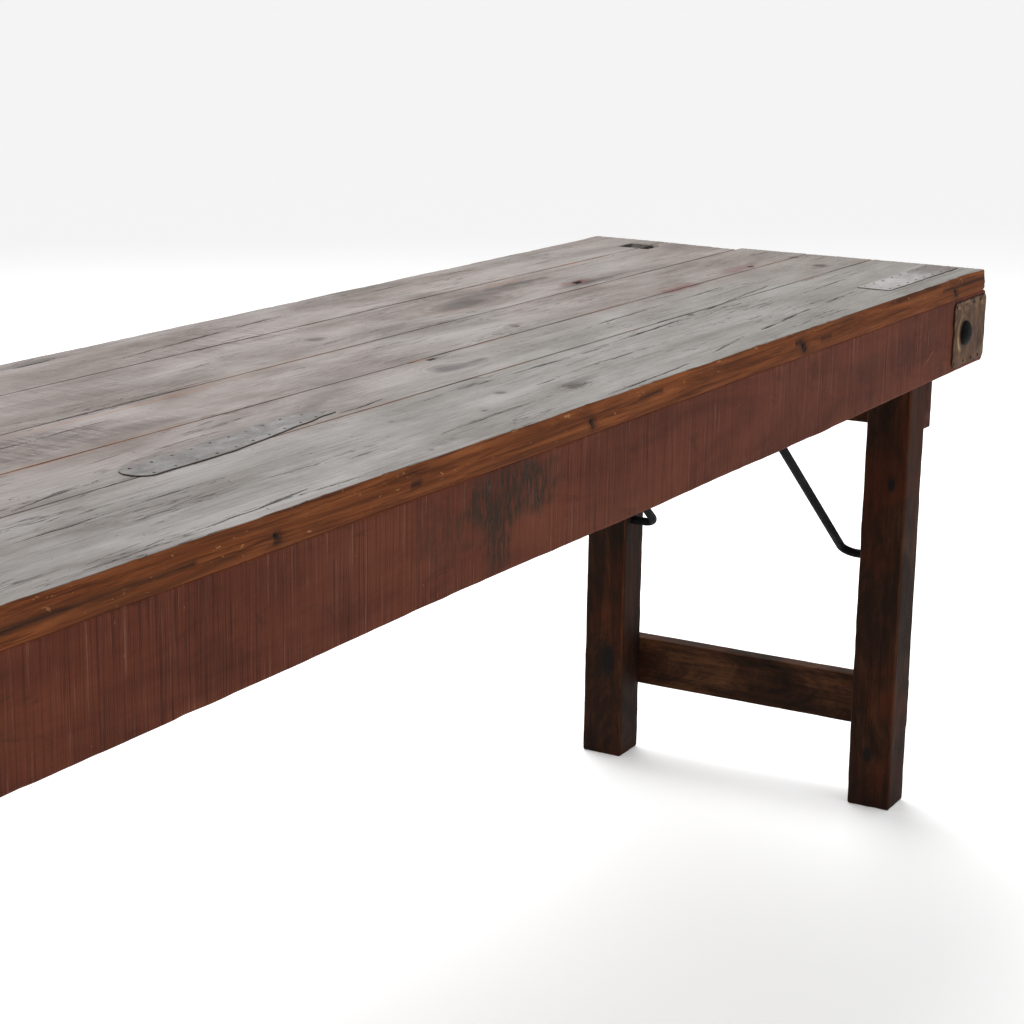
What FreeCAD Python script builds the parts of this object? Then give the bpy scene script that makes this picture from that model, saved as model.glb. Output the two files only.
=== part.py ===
"""Rustic folding table: a plank top on two deep side aprons, with a folding leg frame at each end.

Frame: millimetres, +X along the table's length, +Y across it, +Z up. The origin is on the floor under the
table's centre. "near" is the -Y side and "far" the +Y side; "right" is the +X end and "left" the -X end.

Each leg frame turns on two carriage bolts that pass through the aprons. A U-shaped iron stay is pinned in the
frame's two legs, and its crossbar lies on a pair of iron tongues under the top while the table stands.
"""
import FreeCAD
import Part
import math
import os

V = FreeCAD.Vector

# ---- driving dimensions ----
LENGTH = 2300.0
WIDTH = 600.0
HEIGHT = 760.0
TOP_T = 28.0                 # plank thickness
APRON_H = 97.0
APRON_T = 48.0
LEG_X = 60.0                 # leg section along the table
LEG_Y = 62.0                 # leg section across the table
LEG_SETBACK = 57.0           # apron outer face to leg outer face
PIVOT_FROM_END = 84.0
ROD_R = 6.0                  # iron stay rod
RUNNING_CLEARANCE = 0.08     # radial, pin turning in its hole
FIXED_CLEARANCE = 0.05       # radial, nail, screw or bolt at rest in its hole
BLIND_EXTRA = 0.5            # blind hole deeper than its nail or screw
CUT_PAST = 1.0               # a through hole's cutter runs this far past each face

# ---- top planks: name, width, end offsets (near and far corner) at the right end, then at the left end ----
PLANK_GAP = 1.5
PLANKS = [
    ("top_plank_1", 165.0, -2.0, 0.0, -4.0, -2.0),
    ("top_plank_2", 97.0, 0.0, 0.0, 1.0, -1.0),
    ("top_plank_3", 103.0, 0.0, 1.0, -6.0, -5.0),
    ("top_plank_4", 120.0, -17.0, -3.0, -2.0, -4.0),
    ("top_plank_5", 115.0, -2.0, 0.0, -7.0, -9.0),
]
PLANK_END_INSET = 1.0        # planks' nominal end, back from the apron's end
TOP_END = LENGTH / 2 - PLANK_END_INSET
TOP_ARRIS_R = 5.0

# ---- aprons, end rails, battens ----
UNDERSIDE_Z = HEIGHT - TOP_T
APRON_BOTTOM_Z = UNDERSIDE_Z - APRON_H
APRON_CORNER_R = 8.0
INNER_Y = WIDTH / 2 - APRON_T
LEG_GAP = 2.0                # leg's outer face to the end rail it stops against
END_RAIL_H = 80.0
END_RAIL_INSET = 4.0
END_RAIL_NAIL_X = 22.0       # nail line from the rail's inner face
BATTEN_T = 16.0
BATTEN_W = 60.0
BATTEN_XS = [-706.0, -174.0, 358.0, 890.0]

# ---- pivots ----
PIVOT_X = LENGTH / 2 - PIVOT_FROM_END
PIVOT_Z = UNDERSIDE_Z - APRON_H / 2
BOLT_R = 6.0
BOLT_HEAD_R = 16.5
BOLT_HEAD_H = 9.0
SPACER_T = 8.0
SPACER_R = 22.0
WASHER_T = 3.0
WASHER_R = 17.0
NUT_ACROSS = 24.0
NUT_T = 10.0
BOLT_END_PROUD = 5.0
PIVOT_SIDE_PLAY = 0.5

# ---- leg frames ----
LEG_OUTER_Y = WIDTH / 2 - LEG_SETBACK
LEG_INNER_Y = LEG_OUTER_Y - LEG_Y
FOOT_CHAMFER = 3.0
RAIL_T = 25.0
UPPER_RAIL_END_INSET = 0.5
STRETCHER_END_INSET = 8.0
UPPER_RAIL_Z = (539.0, 612.0)
STRETCHER_Z = (100.0, 172.0)

# ---- stays ----
STAY_PIN_X = PIVOT_X - 7.5
STAY_PIN_Z = 361.0
STAY_NEAR_ARM_Y = -150.0
STAY_FAR_ARM_Y = 142.0
STAY_PIN_DEPTH = 38.0
STAY_HOLE_DEPTH = 40.0
STAY_BEND_R = 20.0
STAY_ANGLE = 38.6            # degrees above the horizontal
CROSSBAR_Z = 709.0
CROSSBAR_X = STAY_PIN_X - (CROSSBAR_Z - STAY_PIN_Z) / math.tan(math.radians(STAY_ANGLE))

# ---- stay catches ----
BLOCK_GAP = 3.4              # block face to the crossbar's surface
BLOCK_W = 40.0
BLOCK_HALF_Y = 125.0
TONGUE_T = 4.0
TONGUE_W = 25.0
TONGUE_Y = 90.0
TONGUE_CLEAR = 0.5           # crossbar's lowest line above the tongue
TONGUE_SHY = 1.0             # flat of the tongue stops this short of the crossbar's axis
TONGUE_LIP = 12.0
TONGUE_LIP_DROP = 25.0       # degrees
TONGUE_BACK = 4.0            # end of the tongue to the block's back face
TONGUE_SCREW_XS = (10.0, 28.0)

# ---- sheet-metal plates and patches ----
PLATE_T = 1.5
PLATE_L = 126.0
PLATE_Z = (APRON_BOTTOM_Z + 5.0, UNDERSIDE_Z - 4.0)
PLATE_END_INSET = 3.0
PLATE_CORNER_R = 8.0
PLATE_NAIL_XS = (22.0, 50.0, 81.0, 118.0)    # from the plate's outer edge
PLATE_NAIL_Z_INSET = 6.0
PATCH_T = 0.8
PATCH_LEFT_R = 14.0          # corner radii
PATCH_RIGHT_R = 4.0
PATCH_MARGIN = 4.0           # no top nail closer than this to a patch
PATCHES = {                  # x0, x1, y0, y1 and the number of nails along each long side
    "tin_patch_middle": (-476.0, -167.0, -144.0, -93.0, 10),
    "tin_patch_corner": (870.0, 1134.0, -267.0, -219.0, 8),
}
PATCH_NAIL_INSET = 5.0
PATCH_END_NAIL_INSET = 7.0

# ---- nails and screws ----
TOP_NAIL_R = 2.4
TOP_NAIL_DEPTH = 12.0
TOP_NAIL_SINK = 0.6          # head below the top's surface
APRON_NAIL_PITCH = 150.0     # nails down through the top into the aprons
APRON_NAIL_Y = WIDTH / 2 - APRON_T / 2
EDGE_NAIL_PITCH = 514.0      # nails driven level into the top's long edges
EDGE_NAIL_COUNT = 5
EDGE_NAIL_Z = UNDERSIDE_Z + 10.0
EDGE_NAIL_R = 2.5
EDGE_NAIL_LENGTH = 40.0
EDGE_NAIL_SINK = 1.5
NAIL_FROM_PLANK_EDGE = 22.0
NAIL_FROM_APRON = 10.0       # batten nails keep this far from the apron's inner face
SMALL_NAIL_HEAD_R = 2.2
SMALL_NAIL_HEAD_H = 0.7
SMALL_NAIL_SHANK_R = 0.9
SMALL_NAIL_SHANK = 9.0
RAIL_NAIL_HEAD_R = 4.5
RAIL_NAIL_HEAD_H = 1.6
RAIL_NAIL_SHANK_R = 2.0
RAIL_NAIL_SHANK = 45.0
RAIL_NAIL_Y = 14.0           # to each side of the leg's middle
RAIL_NAIL_Z_INSET = 20.0
SCREW_HEAD_R = 4.5
SCREW_HEAD_H = 2.5
SCREW_SHANK_R = 2.0
SCREW_SHANK = 22.0

ENDS = {"right": 1.0, "left": -1.0}
SIDES = {"near": -1.0, "far": 1.0}


# ---- helpers ----
def block(x0, x1, y0, y1, z0, z1):
    """Box between two corners given in any order."""
    lows = [min(x0, x1), min(y0, y1), min(z0, z1)]
    return Part.makeBox(abs(x1 - x0), abs(y1 - y0), abs(z1 - z0), V(*lows))


def rod(start, direction, length, radius):
    return Part.makeCylinder(radius, length, V(*start), V(*direction))


def rounded_outline(corners, plane):
    """Closed face from (u, v, radius) corners, with an arc at each corner whose radius isn't zero."""
    edges = []
    ends = []
    count = len(corners)
    for i, (u, v, radius) in enumerate(corners):
        here = V(u, v, 0)
        before = V(*corners[i - 1][:2], 0)
        after = V(*corners[(i + 1) % count][:2], 0)
        if radius <= 0:
            ends.append((here, here))
            continue
        to_before = (before - here).normalize()
        to_after = (after - here).normalize()
        half = to_before.getAngle(to_after) / 2
        reach = radius / math.tan(half)
        start = here + to_before * reach
        end = here + to_after * reach
        centre = here + (to_before + to_after).normalize() * (radius / math.sin(half))
        middle = centre + (here - centre).normalize() * radius
        ends.append((start, end))
        edges.append(Part.Arc(plane(start), plane(middle), plane(end)).toShape())
    for i in range(count):
        start = ends[i][1]
        end = ends[(i + 1) % count][0]
        if (end - start).Length > 1e-6:
            edges.append(Part.LineSegment(plane(start), plane(end)).toShape())
    return Part.Face(Part.Wire(Part.__sortEdges__(edges)))


def slab_xz(corners, y0, y1):
    """Outline in X and Z, pulled along Y from y0 to y1."""
    face = rounded_outline(corners, lambda p: V(p.x, min(y0, y1), p.y))
    return face.extrude(V(0, abs(y1 - y0), 0))


def slab_xy(corners, z0, z1):
    """Outline in X and Y, pulled up from z0 to z1."""
    face = rounded_outline(corners, lambda p: V(p.x, p.y, z0))
    return face.extrude(V(0, 0, z1 - z0))


def bent_rod(points, bend_r, radius):
    """Round bar along straight runs joined by arcs of bend_r."""
    edges = []
    start = points[0]
    for here, after in zip(points[1:-1], points[2:]):
        back = (start - here).normalize()
        on = (after - here).normalize()
        half = back.getAngle(on) / 2
        reach = bend_r / math.tan(half)
        centre = here + (back + on).normalize() * (bend_r / math.sin(half))
        middle = centre + (here - centre).normalize() * bend_r
        edges.append(Part.LineSegment(start, here + back * reach).toShape())
        edges.append(Part.Arc(here + back * reach, middle, here + on * reach).toShape())
        start = here + on * reach
    edges.append(Part.LineSegment(start, points[-1]).toShape())
    first = (points[1] - points[0]).normalize()
    section = Part.Wire(Part.makeCircle(radius, points[0], first))
    return Part.Wire(edges).makePipeShell([section], True, False)


def headed_pin(point, direction, head_r, head_h, shank_r, shank):
    """Nail or screw whose head stands on a surface at point, driven along direction."""
    d = V(*direction)
    head = Part.makeCylinder(head_r, head_h, V(*point) - d * head_h, d)
    return head.fuse(Part.makeCylinder(shank_r, shank, V(*point), d)).removeSplitter()


def pilot(point, direction, shank_r, shank):
    """The hole that a headed_pin needs."""
    return rod(point, direction, shank + BLIND_EXTRA, shank_r + FIXED_CLEARANCE)


def minus(shape, cutters):
    return shape.cut(Part.makeCompound(cutters))


def save(name, *solids):
    shape = solids[0] if len(solids) == 1 else Part.makeCompound(list(solids))
    for solid in shape.Solids:
        if not solid.isValid() or solid.Volume <= 0:
            raise ValueError(name + " holds a bad solid")
    shape.exportStep(os.path.join("parts", name + ".step"))


# ---- where the fasteners go ----
def plank_edges():
    """Each plank with the Y of its near and far edge."""
    y = -WIDTH / 2
    for plank in PLANKS:
        near = y if y == -WIDTH / 2 else y + PLANK_GAP / 2
        y += plank[1]
        far = y if abs(y - WIDTH / 2) < 1e-6 else y - PLANK_GAP / 2
        yield plank, near, far


def top_nail_points():
    """Nails down into the aprons along both long edges, and into the battens and end rails."""
    points = []
    count = int((LENGTH - APRON_NAIL_PITCH) // APRON_NAIL_PITCH)
    for i in range(count + 1):
        x = (i - count / 2) * APRON_NAIL_PITCH
        points += [(x, -APRON_NAIL_Y), (x, APRON_NAIL_Y)]
    end_rail_x = PIVOT_X + LEG_X / 2 + LEG_GAP + END_RAIL_NAIL_X
    for x in [-end_rail_x] + BATTEN_XS + [end_rail_x]:
        for _, near, far in plank_edges():
            for y in (near + NAIL_FROM_PLANK_EDGE, far - NAIL_FROM_PLANK_EDGE):
                if abs(y) < INNER_Y - NAIL_FROM_APRON:
                    points.append((x, y))
    return points


def edge_nail(x, side):
    """Level nail in a long edge, sunk below the edge's face."""
    start = side * (WIDTH / 2 - EDGE_NAIL_SINK)
    return rod((x, start, EDGE_NAIL_Z), (0, -side, 0), EDGE_NAIL_LENGTH, EDGE_NAIL_R)


def edge_nail_hole(x, side):
    start = side * (WIDTH / 2 + CUT_PAST)
    length = CUT_PAST + EDGE_NAIL_SINK + EDGE_NAIL_LENGTH + BLIND_EXTRA
    return rod((x, start, EDGE_NAIL_Z), (0, -side, 0), length, EDGE_NAIL_R + FIXED_CLEARANCE)


def edge_nail_xs():
    return [(i - (EDGE_NAIL_COUNT - 1) / 2) * EDGE_NAIL_PITCH for i in range(EDGE_NAIL_COUNT)]


def patch_nail_points(name):
    x0, x1, y0, y1, count = PATCHES[name]
    step = (x1 - x0 - 2 * PATCH_END_NAIL_INSET) / (count - 1)
    xs = [x0 + PATCH_END_NAIL_INSET + i * step for i in range(count)]
    return [(x, y) for x in xs for y in (y0 + PATCH_NAIL_INSET, y1 - PATCH_NAIL_INSET)]


def under_patch(x, y):
    return any(x0 - PATCH_MARGIN < x < x1 + PATCH_MARGIN and y0 - PATCH_MARGIN < y < y1 + PATCH_MARGIN
               for x0, x1, y0, y1, _ in PATCHES.values())


def plate_nail_points(end):
    """X and Z of the nails round a corner plate's edge."""
    outer = LENGTH / 2 - PLATE_END_INSET
    xs = [outer - inset for inset in reversed(PLATE_NAIL_XS)]
    z0, z1 = PLATE_Z
    return [(end * x, z) for x in xs for z in (z0 + PLATE_NAIL_Z_INSET, z1 - PLATE_NAIL_Z_INSET)]


def rail_nail_points(end):
    """X, Y and Z of the nails that hold a leg frame's two rails, two at each joint."""
    x = end * (PIVOT_X + LEG_X / 2 + RAIL_T)
    points = []
    for z0, z1 in (UPPER_RAIL_Z, STRETCHER_Z):
        for side in SIDES.values():
            middle = side * (LEG_OUTER_Y - LEG_Y / 2)
            points.append((x, middle - RAIL_NAIL_Y, z0 + RAIL_NAIL_Z_INSET))
            points.append((x, middle + RAIL_NAIL_Y, z1 - RAIL_NAIL_Z_INSET))
    return points


# ---- sub-parts of the top ----
def make_planks():
    nails = [p for p in top_nail_points() if not under_patch(*p)]
    pins = []
    for (name, _, right_near, right_far, left_near, left_far), near, far in plank_edges():
        outline = [
            (-TOP_END - left_near, near, 0),
            (TOP_END + right_near, near, 0),
            (TOP_END + right_far, far, 0),
            (-TOP_END - left_far, far, 0),
        ]
        plank = slab_xy(outline, UNDERSIDE_Z, HEIGHT)
        outer = [e for e in plank.Edges if abs(e.BoundBox.YMin - e.BoundBox.YMax) < 1e-6
                 and abs(abs(e.BoundBox.YMin) - WIDTH / 2) < 1e-6
                 and abs(e.BoundBox.ZMin - HEIGHT) < 1e-6 and e.Length > LENGTH / 2]
        if outer:
            plank = plank.makeFillet(TOP_ARRIS_R, outer)
        holes = []
        for x, y in nails:
            if near < y < far:
                low = HEIGHT - TOP_NAIL_SINK - TOP_NAIL_DEPTH
                radius = TOP_NAIL_R + FIXED_CLEARANCE
                holes.append(rod((x, y, low - BLIND_EXTRA), (0, 0, 1), TOP_NAIL_DEPTH + 2, radius))
                pins.append(rod((x, y, low), (0, 0, 1), TOP_NAIL_DEPTH, TOP_NAIL_R))
        for side in SIDES.values():
            if near <= side * WIDTH / 2 <= far:
                holes += [edge_nail_hole(x, side) for x in edge_nail_xs()]
        for patch in PATCHES:
            for x, y in patch_nail_points(patch):
                if near < y < far:
                    holes.append(pilot((x, y, HEIGHT), (0, 0, -1), SMALL_NAIL_SHANK_R, SMALL_NAIL_SHANK))
        save(name, minus(plank, holes))
    save("top_nails", *pins)
    save("edge_nails", *[edge_nail(x, side) for x in edge_nail_xs() for side in SIDES.values()])


def make_patches():
    nails = []
    top = HEIGHT + PATCH_T
    for name, (x0, x1, y0, y1, _) in PATCHES.items():
        corners = [(x0, y0, PATCH_LEFT_R), (x1, y0, PATCH_RIGHT_R),
                   (x1, y1, PATCH_RIGHT_R), (x0, y1, PATCH_LEFT_R)]
        holes = []
        for x, y in patch_nail_points(name):
            holes.append(pilot((x, y, top), (0, 0, -1), SMALL_NAIL_SHANK_R, SMALL_NAIL_SHANK))
            nails.append(headed_pin((x, y, top), (0, 0, -1), SMALL_NAIL_HEAD_R, SMALL_NAIL_HEAD_H,
                                    SMALL_NAIL_SHANK_R, SMALL_NAIL_SHANK))
        save(name, minus(slab_xy(corners, HEIGHT, top), holes))
    save("patch_nails", *nails)


def make_aprons():
    x1 = LENGTH / 2
    outline = [
        (-x1, APRON_BOTTOM_Z, APRON_CORNER_R),
        (x1, APRON_BOTTOM_Z, APRON_CORNER_R),
        (x1, UNDERSIDE_Z, APRON_CORNER_R),
        (-x1, UNDERSIDE_Z, APRON_CORNER_R),
    ]
    for side_name, side in SIDES.items():
        apron = slab_xz(outline, side * INNER_Y, side * WIDTH / 2)
        holes = []
        for end in ENDS.values():
            low = min(side * (INNER_Y - 1), side * (WIDTH / 2 + 1))
            holes.append(rod((end * PIVOT_X, low, PIVOT_Z), (0, 1, 0), APRON_T + 2, BOLT_R + FIXED_CLEARANCE))
            for x, z in plate_nail_points(end):
                point = (x, side * WIDTH / 2, z)
                holes.append(pilot(point, (0, -side, 0), SMALL_NAIL_SHANK_R, SMALL_NAIL_SHANK))
        save("apron_" + side_name, minus(apron, holes))


def make_end_rails():
    for end_name, end in ENDS.items():
        x0 = PIVOT_X + LEG_X / 2 + LEG_GAP
        x1 = LENGTH / 2 - END_RAIL_INSET
        save("end_rail_" + end_name,
             block(end * x0, end * x1, -INNER_Y, INNER_Y, UNDERSIDE_Z - END_RAIL_H, UNDERSIDE_Z))


def make_battens():
    for number, x in enumerate(BATTEN_XS, 1):
        save("batten_%d" % number,
             block(x - BATTEN_W / 2, x + BATTEN_W / 2, -INNER_Y, INNER_Y,
                   UNDERSIDE_Z - BATTEN_T, UNDERSIDE_Z))


def make_corner_plates():
    nails = []
    z0, z1 = PLATE_Z
    for end_name, end in ENDS.items():
        for side_name, side in SIDES.items():
            x0 = end * (LENGTH / 2 - PLATE_END_INSET - PLATE_L)
            x1 = end * (LENGTH / 2 - PLATE_END_INSET)
            face_y = side * (WIDTH / 2 + PLATE_T)
            corners = [(x0, z0, PLATE_CORNER_R), (x1, z0, PLATE_CORNER_R),
                       (x1, z1, PLATE_CORNER_R), (x0, z1, PLATE_CORNER_R)]
            plate = slab_xz(corners, side * WIDTH / 2, face_y)
            low = min(side * (WIDTH / 2 - 1), face_y + side)
            holes = [rod((end * PIVOT_X, low, PIVOT_Z), (0, 1, 0), PLATE_T + 2, BOLT_R + FIXED_CLEARANCE)]
            for x, z in plate_nail_points(end):
                holes.append(pilot((x, face_y, z), (0, -side, 0), SMALL_NAIL_SHANK_R, SMALL_NAIL_SHANK))
                nails.append(headed_pin((x, face_y, z), (0, -side, 0), SMALL_NAIL_HEAD_R, SMALL_NAIL_HEAD_H,
                                        SMALL_NAIL_SHANK_R, SMALL_NAIL_SHANK))
            save("corner_plate_%s_%s" % (end_name, side_name), minus(plate, holes))
    save("plate_nails", *nails)


# ---- pivot hardware ----
def carriage_bolt(end, side):
    """Dome head on the corner plate, shank through plate, apron, spacer, leg, washer and nut."""
    seat = side * (WIDTH / 2 + PLATE_T)
    tip = side * (LEG_INNER_Y - PIVOT_SIDE_PLAY - WASHER_T - NUT_T - BOLT_END_PROUD)
    inward = V(0, -side, 0)
    base = V(end * PIVOT_X, seat, PIVOT_Z)
    sphere_r = (BOLT_HEAD_R ** 2 + BOLT_HEAD_H ** 2) / (2 * BOLT_HEAD_H)
    ball = Part.makeSphere(sphere_r, base + inward * (sphere_r - BOLT_HEAD_H))
    head = ball.common(Part.makeCylinder(BOLT_HEAD_R + 1, BOLT_HEAD_H + 1, base, inward * -1))
    shank = Part.makeCylinder(BOLT_R, abs(seat - tip), base, inward)
    return head.fuse(shank).removeSplitter()


def ring_y(x, z, y0, y1, outer_r, inner_r):
    low = min(y0, y1)
    ring = rod((x, low, z), (0, 1, 0), abs(y1 - y0), outer_r)
    return ring.cut(rod((x, low - 1, z), (0, 1, 0), abs(y1 - y0) + 2, inner_r))


def square_nut(x, z, y0, y1):
    half = NUT_ACROSS / 2
    nut = block(x - half, x + half, y0, y1, z - half, z + half)
    return nut.cut(rod((x, min(y0, y1) - 1, z), (0, 1, 0), NUT_T + 2, BOLT_R + FIXED_CLEARANCE))


def make_pivots():
    spacers = []
    washers = []
    nuts = []
    for end_name, end in ENDS.items():
        x = end * PIVOT_X
        for side_name, side in SIDES.items():
            save("pivot_bolt_%s_%s" % (end_name, side_name), carriage_bolt(end, side))
            washer_y = side * (LEG_INNER_Y - PIVOT_SIDE_PLAY)
            nut_y = washer_y - side * WASHER_T
            bore = BOLT_R + FIXED_CLEARANCE
            spacers.append(ring_y(x, PIVOT_Z, side * INNER_Y, side * (INNER_Y - SPACER_T), SPACER_R, bore))
            washers.append(ring_y(x, PIVOT_Z, washer_y, nut_y, WASHER_R, bore))
            nuts.append(square_nut(x, PIVOT_Z, nut_y, nut_y - side * NUT_T))
    save("pivot_spacers", *spacers)
    save("pivot_washers", *washers)
    save("pivot_nuts", *nuts)


# ---- stay catches ----
def catch_xs():
    """X of the block's inner and back face, and of the tongue's flat end."""
    inner = CROSSBAR_X + ROD_R + BLOCK_GAP
    return inner, inner + BLOCK_W, CROSSBAR_X + TONGUE_SHY


def tongue(end, y):
    """Flat iron tongue under the block, with a lip that falls away below the crossbar."""
    _, back, flat_end = catch_xs()
    top = CROSSBAR_Z - ROD_R - TONGUE_CLEAR
    drop = math.radians(TONGUE_LIP_DROP)
    lip = (-math.cos(drop) * TONGUE_LIP, -math.sin(drop) * TONGUE_LIP)
    down = (math.sin(drop) * TONGUE_T, -math.cos(drop) * TONGUE_T)
    side_view = [
        (back - TONGUE_BACK, top),
        (flat_end, top),
        (flat_end + lip[0], top + lip[1]),
        (flat_end + lip[0] + down[0], top + lip[1] + down[1]),
        (flat_end + down[0], top - TONGUE_T),
        (back - TONGUE_BACK, top - TONGUE_T),
    ]
    return slab_xz([(end * x, z, 0) for x, z in side_view], y - TONGUE_W / 2, y + TONGUE_W / 2)


def make_catches():
    screws = []
    for end_name, end in ENDS.items():
        inner, back, _ = catch_xs()
        top = CROSSBAR_Z - ROD_R - TONGUE_CLEAR
        holes = []
        for y in (-TONGUE_Y, TONGUE_Y):
            for offset in TONGUE_SCREW_XS:
                point = (end * (inner + offset), y, top - TONGUE_T)
                holes.append(pilot(point, (0, 0, 1), SCREW_SHANK_R, SCREW_SHANK))
                screws.append(headed_pin(point, (0, 0, 1), SCREW_HEAD_R, SCREW_HEAD_H,
                                         SCREW_SHANK_R, SCREW_SHANK))
        wood = block(end * inner, end * back, -BLOCK_HALF_Y, BLOCK_HALF_Y, top, UNDERSIDE_Z)
        save("catch_block_" + end_name, minus(wood, holes))
        tongues = [minus(tongue(end, y), holes) for y in (-TONGUE_Y, TONGUE_Y)]
        save("catch_tongues_" + end_name, *tongues)
    save("catch_screws", *screws)


# ---- leg frames ----
def make_leg(end, side):
    """Square post with its top rounded about the pivot, bored for the bolt and for the stay's pin."""
    half = LEG_X / 2
    centre = end * PIVOT_X
    y0 = side * LEG_INNER_Y
    y1 = side * LEG_OUTER_Y
    post = block(centre - half, centre + half, y0, y1, 0, PIVOT_Z)
    foot = [e for e in post.Edges if e.BoundBox.ZMax < 1e-6]
    post = post.makeChamfer(FOOT_CHAMFER, foot)
    low = min(y0, y1)
    post = post.fuse(rod((centre, low, PIVOT_Z), (0, 1, 0), LEG_Y, half)).removeSplitter()
    bolt_hole = rod((centre, low - 1, PIVOT_Z), (0, 1, 0), LEG_Y + 2, BOLT_R + RUNNING_CLEARANCE)
    pin_hole = rod((end * STAY_PIN_X, y0 - side, STAY_PIN_Z), (0, side, 0), STAY_HOLE_DEPTH + 1,
                   ROD_R + RUNNING_CLEARANCE)
    nail_holes = [pilot(p, (-end, 0, 0), RAIL_NAIL_SHANK_R, RAIL_NAIL_SHANK)
                  for p in rail_nail_points(end) if p[1] * side > 0]
    return minus(post, [bolt_hole, pin_hole] + nail_holes)


def make_leg_frames():
    for end_name, end in ENDS.items():
        for side_name, side in SIDES.items():
            save("leg_%s_%s" % (end_name, side_name), make_leg(end, side))
        nails = [headed_pin(p, (-end, 0, 0), RAIL_NAIL_HEAD_R, RAIL_NAIL_HEAD_H,
                            RAIL_NAIL_SHANK_R, RAIL_NAIL_SHANK)
                 for p in rail_nail_points(end)]
        holes = [pilot(p, (-end, 0, 0), RAIL_NAIL_SHANK_R, RAIL_NAIL_SHANK) for p in rail_nail_points(end)]
        x0 = end * (PIVOT_X + LEG_X / 2)
        x1 = x0 + end * RAIL_T
        rails = (("upper_rail_", UPPER_RAIL_Z, UPPER_RAIL_END_INSET),
                 ("stretcher_", STRETCHER_Z, STRETCHER_END_INSET))
        for name, (z0, z1), inset in rails:
            half = LEG_OUTER_Y - inset
            save(name + end_name, minus(block(x0, x1, -half, half, z0, z1), holes))
        save("rail_nails_" + end_name, *nails)


def make_stays():
    """Iron bar bent to a U: a pin in each leg, two sloping arms and the crossbar."""
    reach = LEG_INNER_Y + STAY_PIN_DEPTH
    for end_name, end in ENDS.items():
        pin_x = end * STAY_PIN_X
        bar_x = end * CROSSBAR_X
        points = [
            V(pin_x, -reach, STAY_PIN_Z),
            V(pin_x, STAY_NEAR_ARM_Y, STAY_PIN_Z),
            V(bar_x, STAY_NEAR_ARM_Y, CROSSBAR_Z),
            V(bar_x, STAY_FAR_ARM_Y, CROSSBAR_Z),
            V(pin_x, STAY_FAR_ARM_Y, STAY_PIN_Z),
            V(pin_x, reach, STAY_PIN_Z),
        ]
        save("stay_rod_" + end_name, bent_rod(points, STAY_BEND_R, ROD_R))


os.makedirs("parts", exist_ok=True)
make_planks()
make_patches()
make_aprons()
make_end_rails()
make_battens()
make_corner_plates()
make_pivots()
make_catches()
make_leg_frames()
make_stays()
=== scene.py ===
"""Looks for the rustic folding table: worn boards, sheet metal and iron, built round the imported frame.

The row frame: +X along the table, +Y away from the camera's side, +Z up, floor at 0. Mesh points are in metres.
The tables of marks, and the x, y, z, u and v of the shaping functions, are in millimetres.
"""
import bpy
import math
import numpy as np
from mathutils import Matrix, Vector


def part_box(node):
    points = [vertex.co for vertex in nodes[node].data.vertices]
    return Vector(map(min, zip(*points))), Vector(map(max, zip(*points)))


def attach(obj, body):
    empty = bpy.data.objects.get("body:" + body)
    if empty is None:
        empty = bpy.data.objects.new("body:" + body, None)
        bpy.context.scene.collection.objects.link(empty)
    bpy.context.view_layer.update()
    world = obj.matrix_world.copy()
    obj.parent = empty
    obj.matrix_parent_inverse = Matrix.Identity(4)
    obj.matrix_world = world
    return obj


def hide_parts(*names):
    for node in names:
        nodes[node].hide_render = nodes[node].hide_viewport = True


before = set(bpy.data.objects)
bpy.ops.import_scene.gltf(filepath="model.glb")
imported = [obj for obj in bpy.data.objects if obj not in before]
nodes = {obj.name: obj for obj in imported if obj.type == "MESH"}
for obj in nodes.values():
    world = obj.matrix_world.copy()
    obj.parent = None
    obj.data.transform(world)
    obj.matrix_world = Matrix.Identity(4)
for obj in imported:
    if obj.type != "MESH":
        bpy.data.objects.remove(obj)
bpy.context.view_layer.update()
MM = 0.001


def box_mm(node):
    """Lowest and highest corner of a CAD node, in millimetres."""
    return [Vector([round(c / MM, 3) for c in corner]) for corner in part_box(node)]


# ---- places read from the frame, in millimetres ----
PLANK_COUNT = 5
plank_boxes = [box_mm("top_plank_%d" % (k + 1)) for k in range(PLANK_COUNT)]
apron_low, apron_high = box_mm("apron_near")
leg_low, leg_high = box_mm("leg_right_near")
TOP_Z = plank_boxes[0][1].z
UNDERSIDE_Z = plank_boxes[0][0].z
HALF_WIDTH = -apron_low.y
APRON_END_X = apron_high.x
APRON_BOTTOM_Z = apron_low.z
LEG_HALF = (leg_high.x - leg_low.x) / 2
LEG_INNER_Y = -leg_high.y
PIVOT_X = (leg_low.x + leg_high.x) / 2
PIVOT_Z = leg_high.z - LEG_HALF
SEAM_YS = [(before[1].y + after[0].y) / 2 for before, after in zip(plank_boxes, plank_boxes[1:])]


# ---- seeded value noise on arrays ----
def lattice(i, j, k, seed):
    """One repeatable number from 0 to 1 for each lattice point."""
    h = (i * 374761393 + j * 668265263 + k * 2147483647 + seed * 974634777) & 0xFFFFFFFF
    h = ((h ^ (h >> 13)) * 1274126177) & 0xFFFFFFFF
    h = ((h ^ (h >> 16)) * 2246822519) & 0xFFFFFFFF
    return (h ^ (h >> 15)) / 4294967295.0


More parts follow.
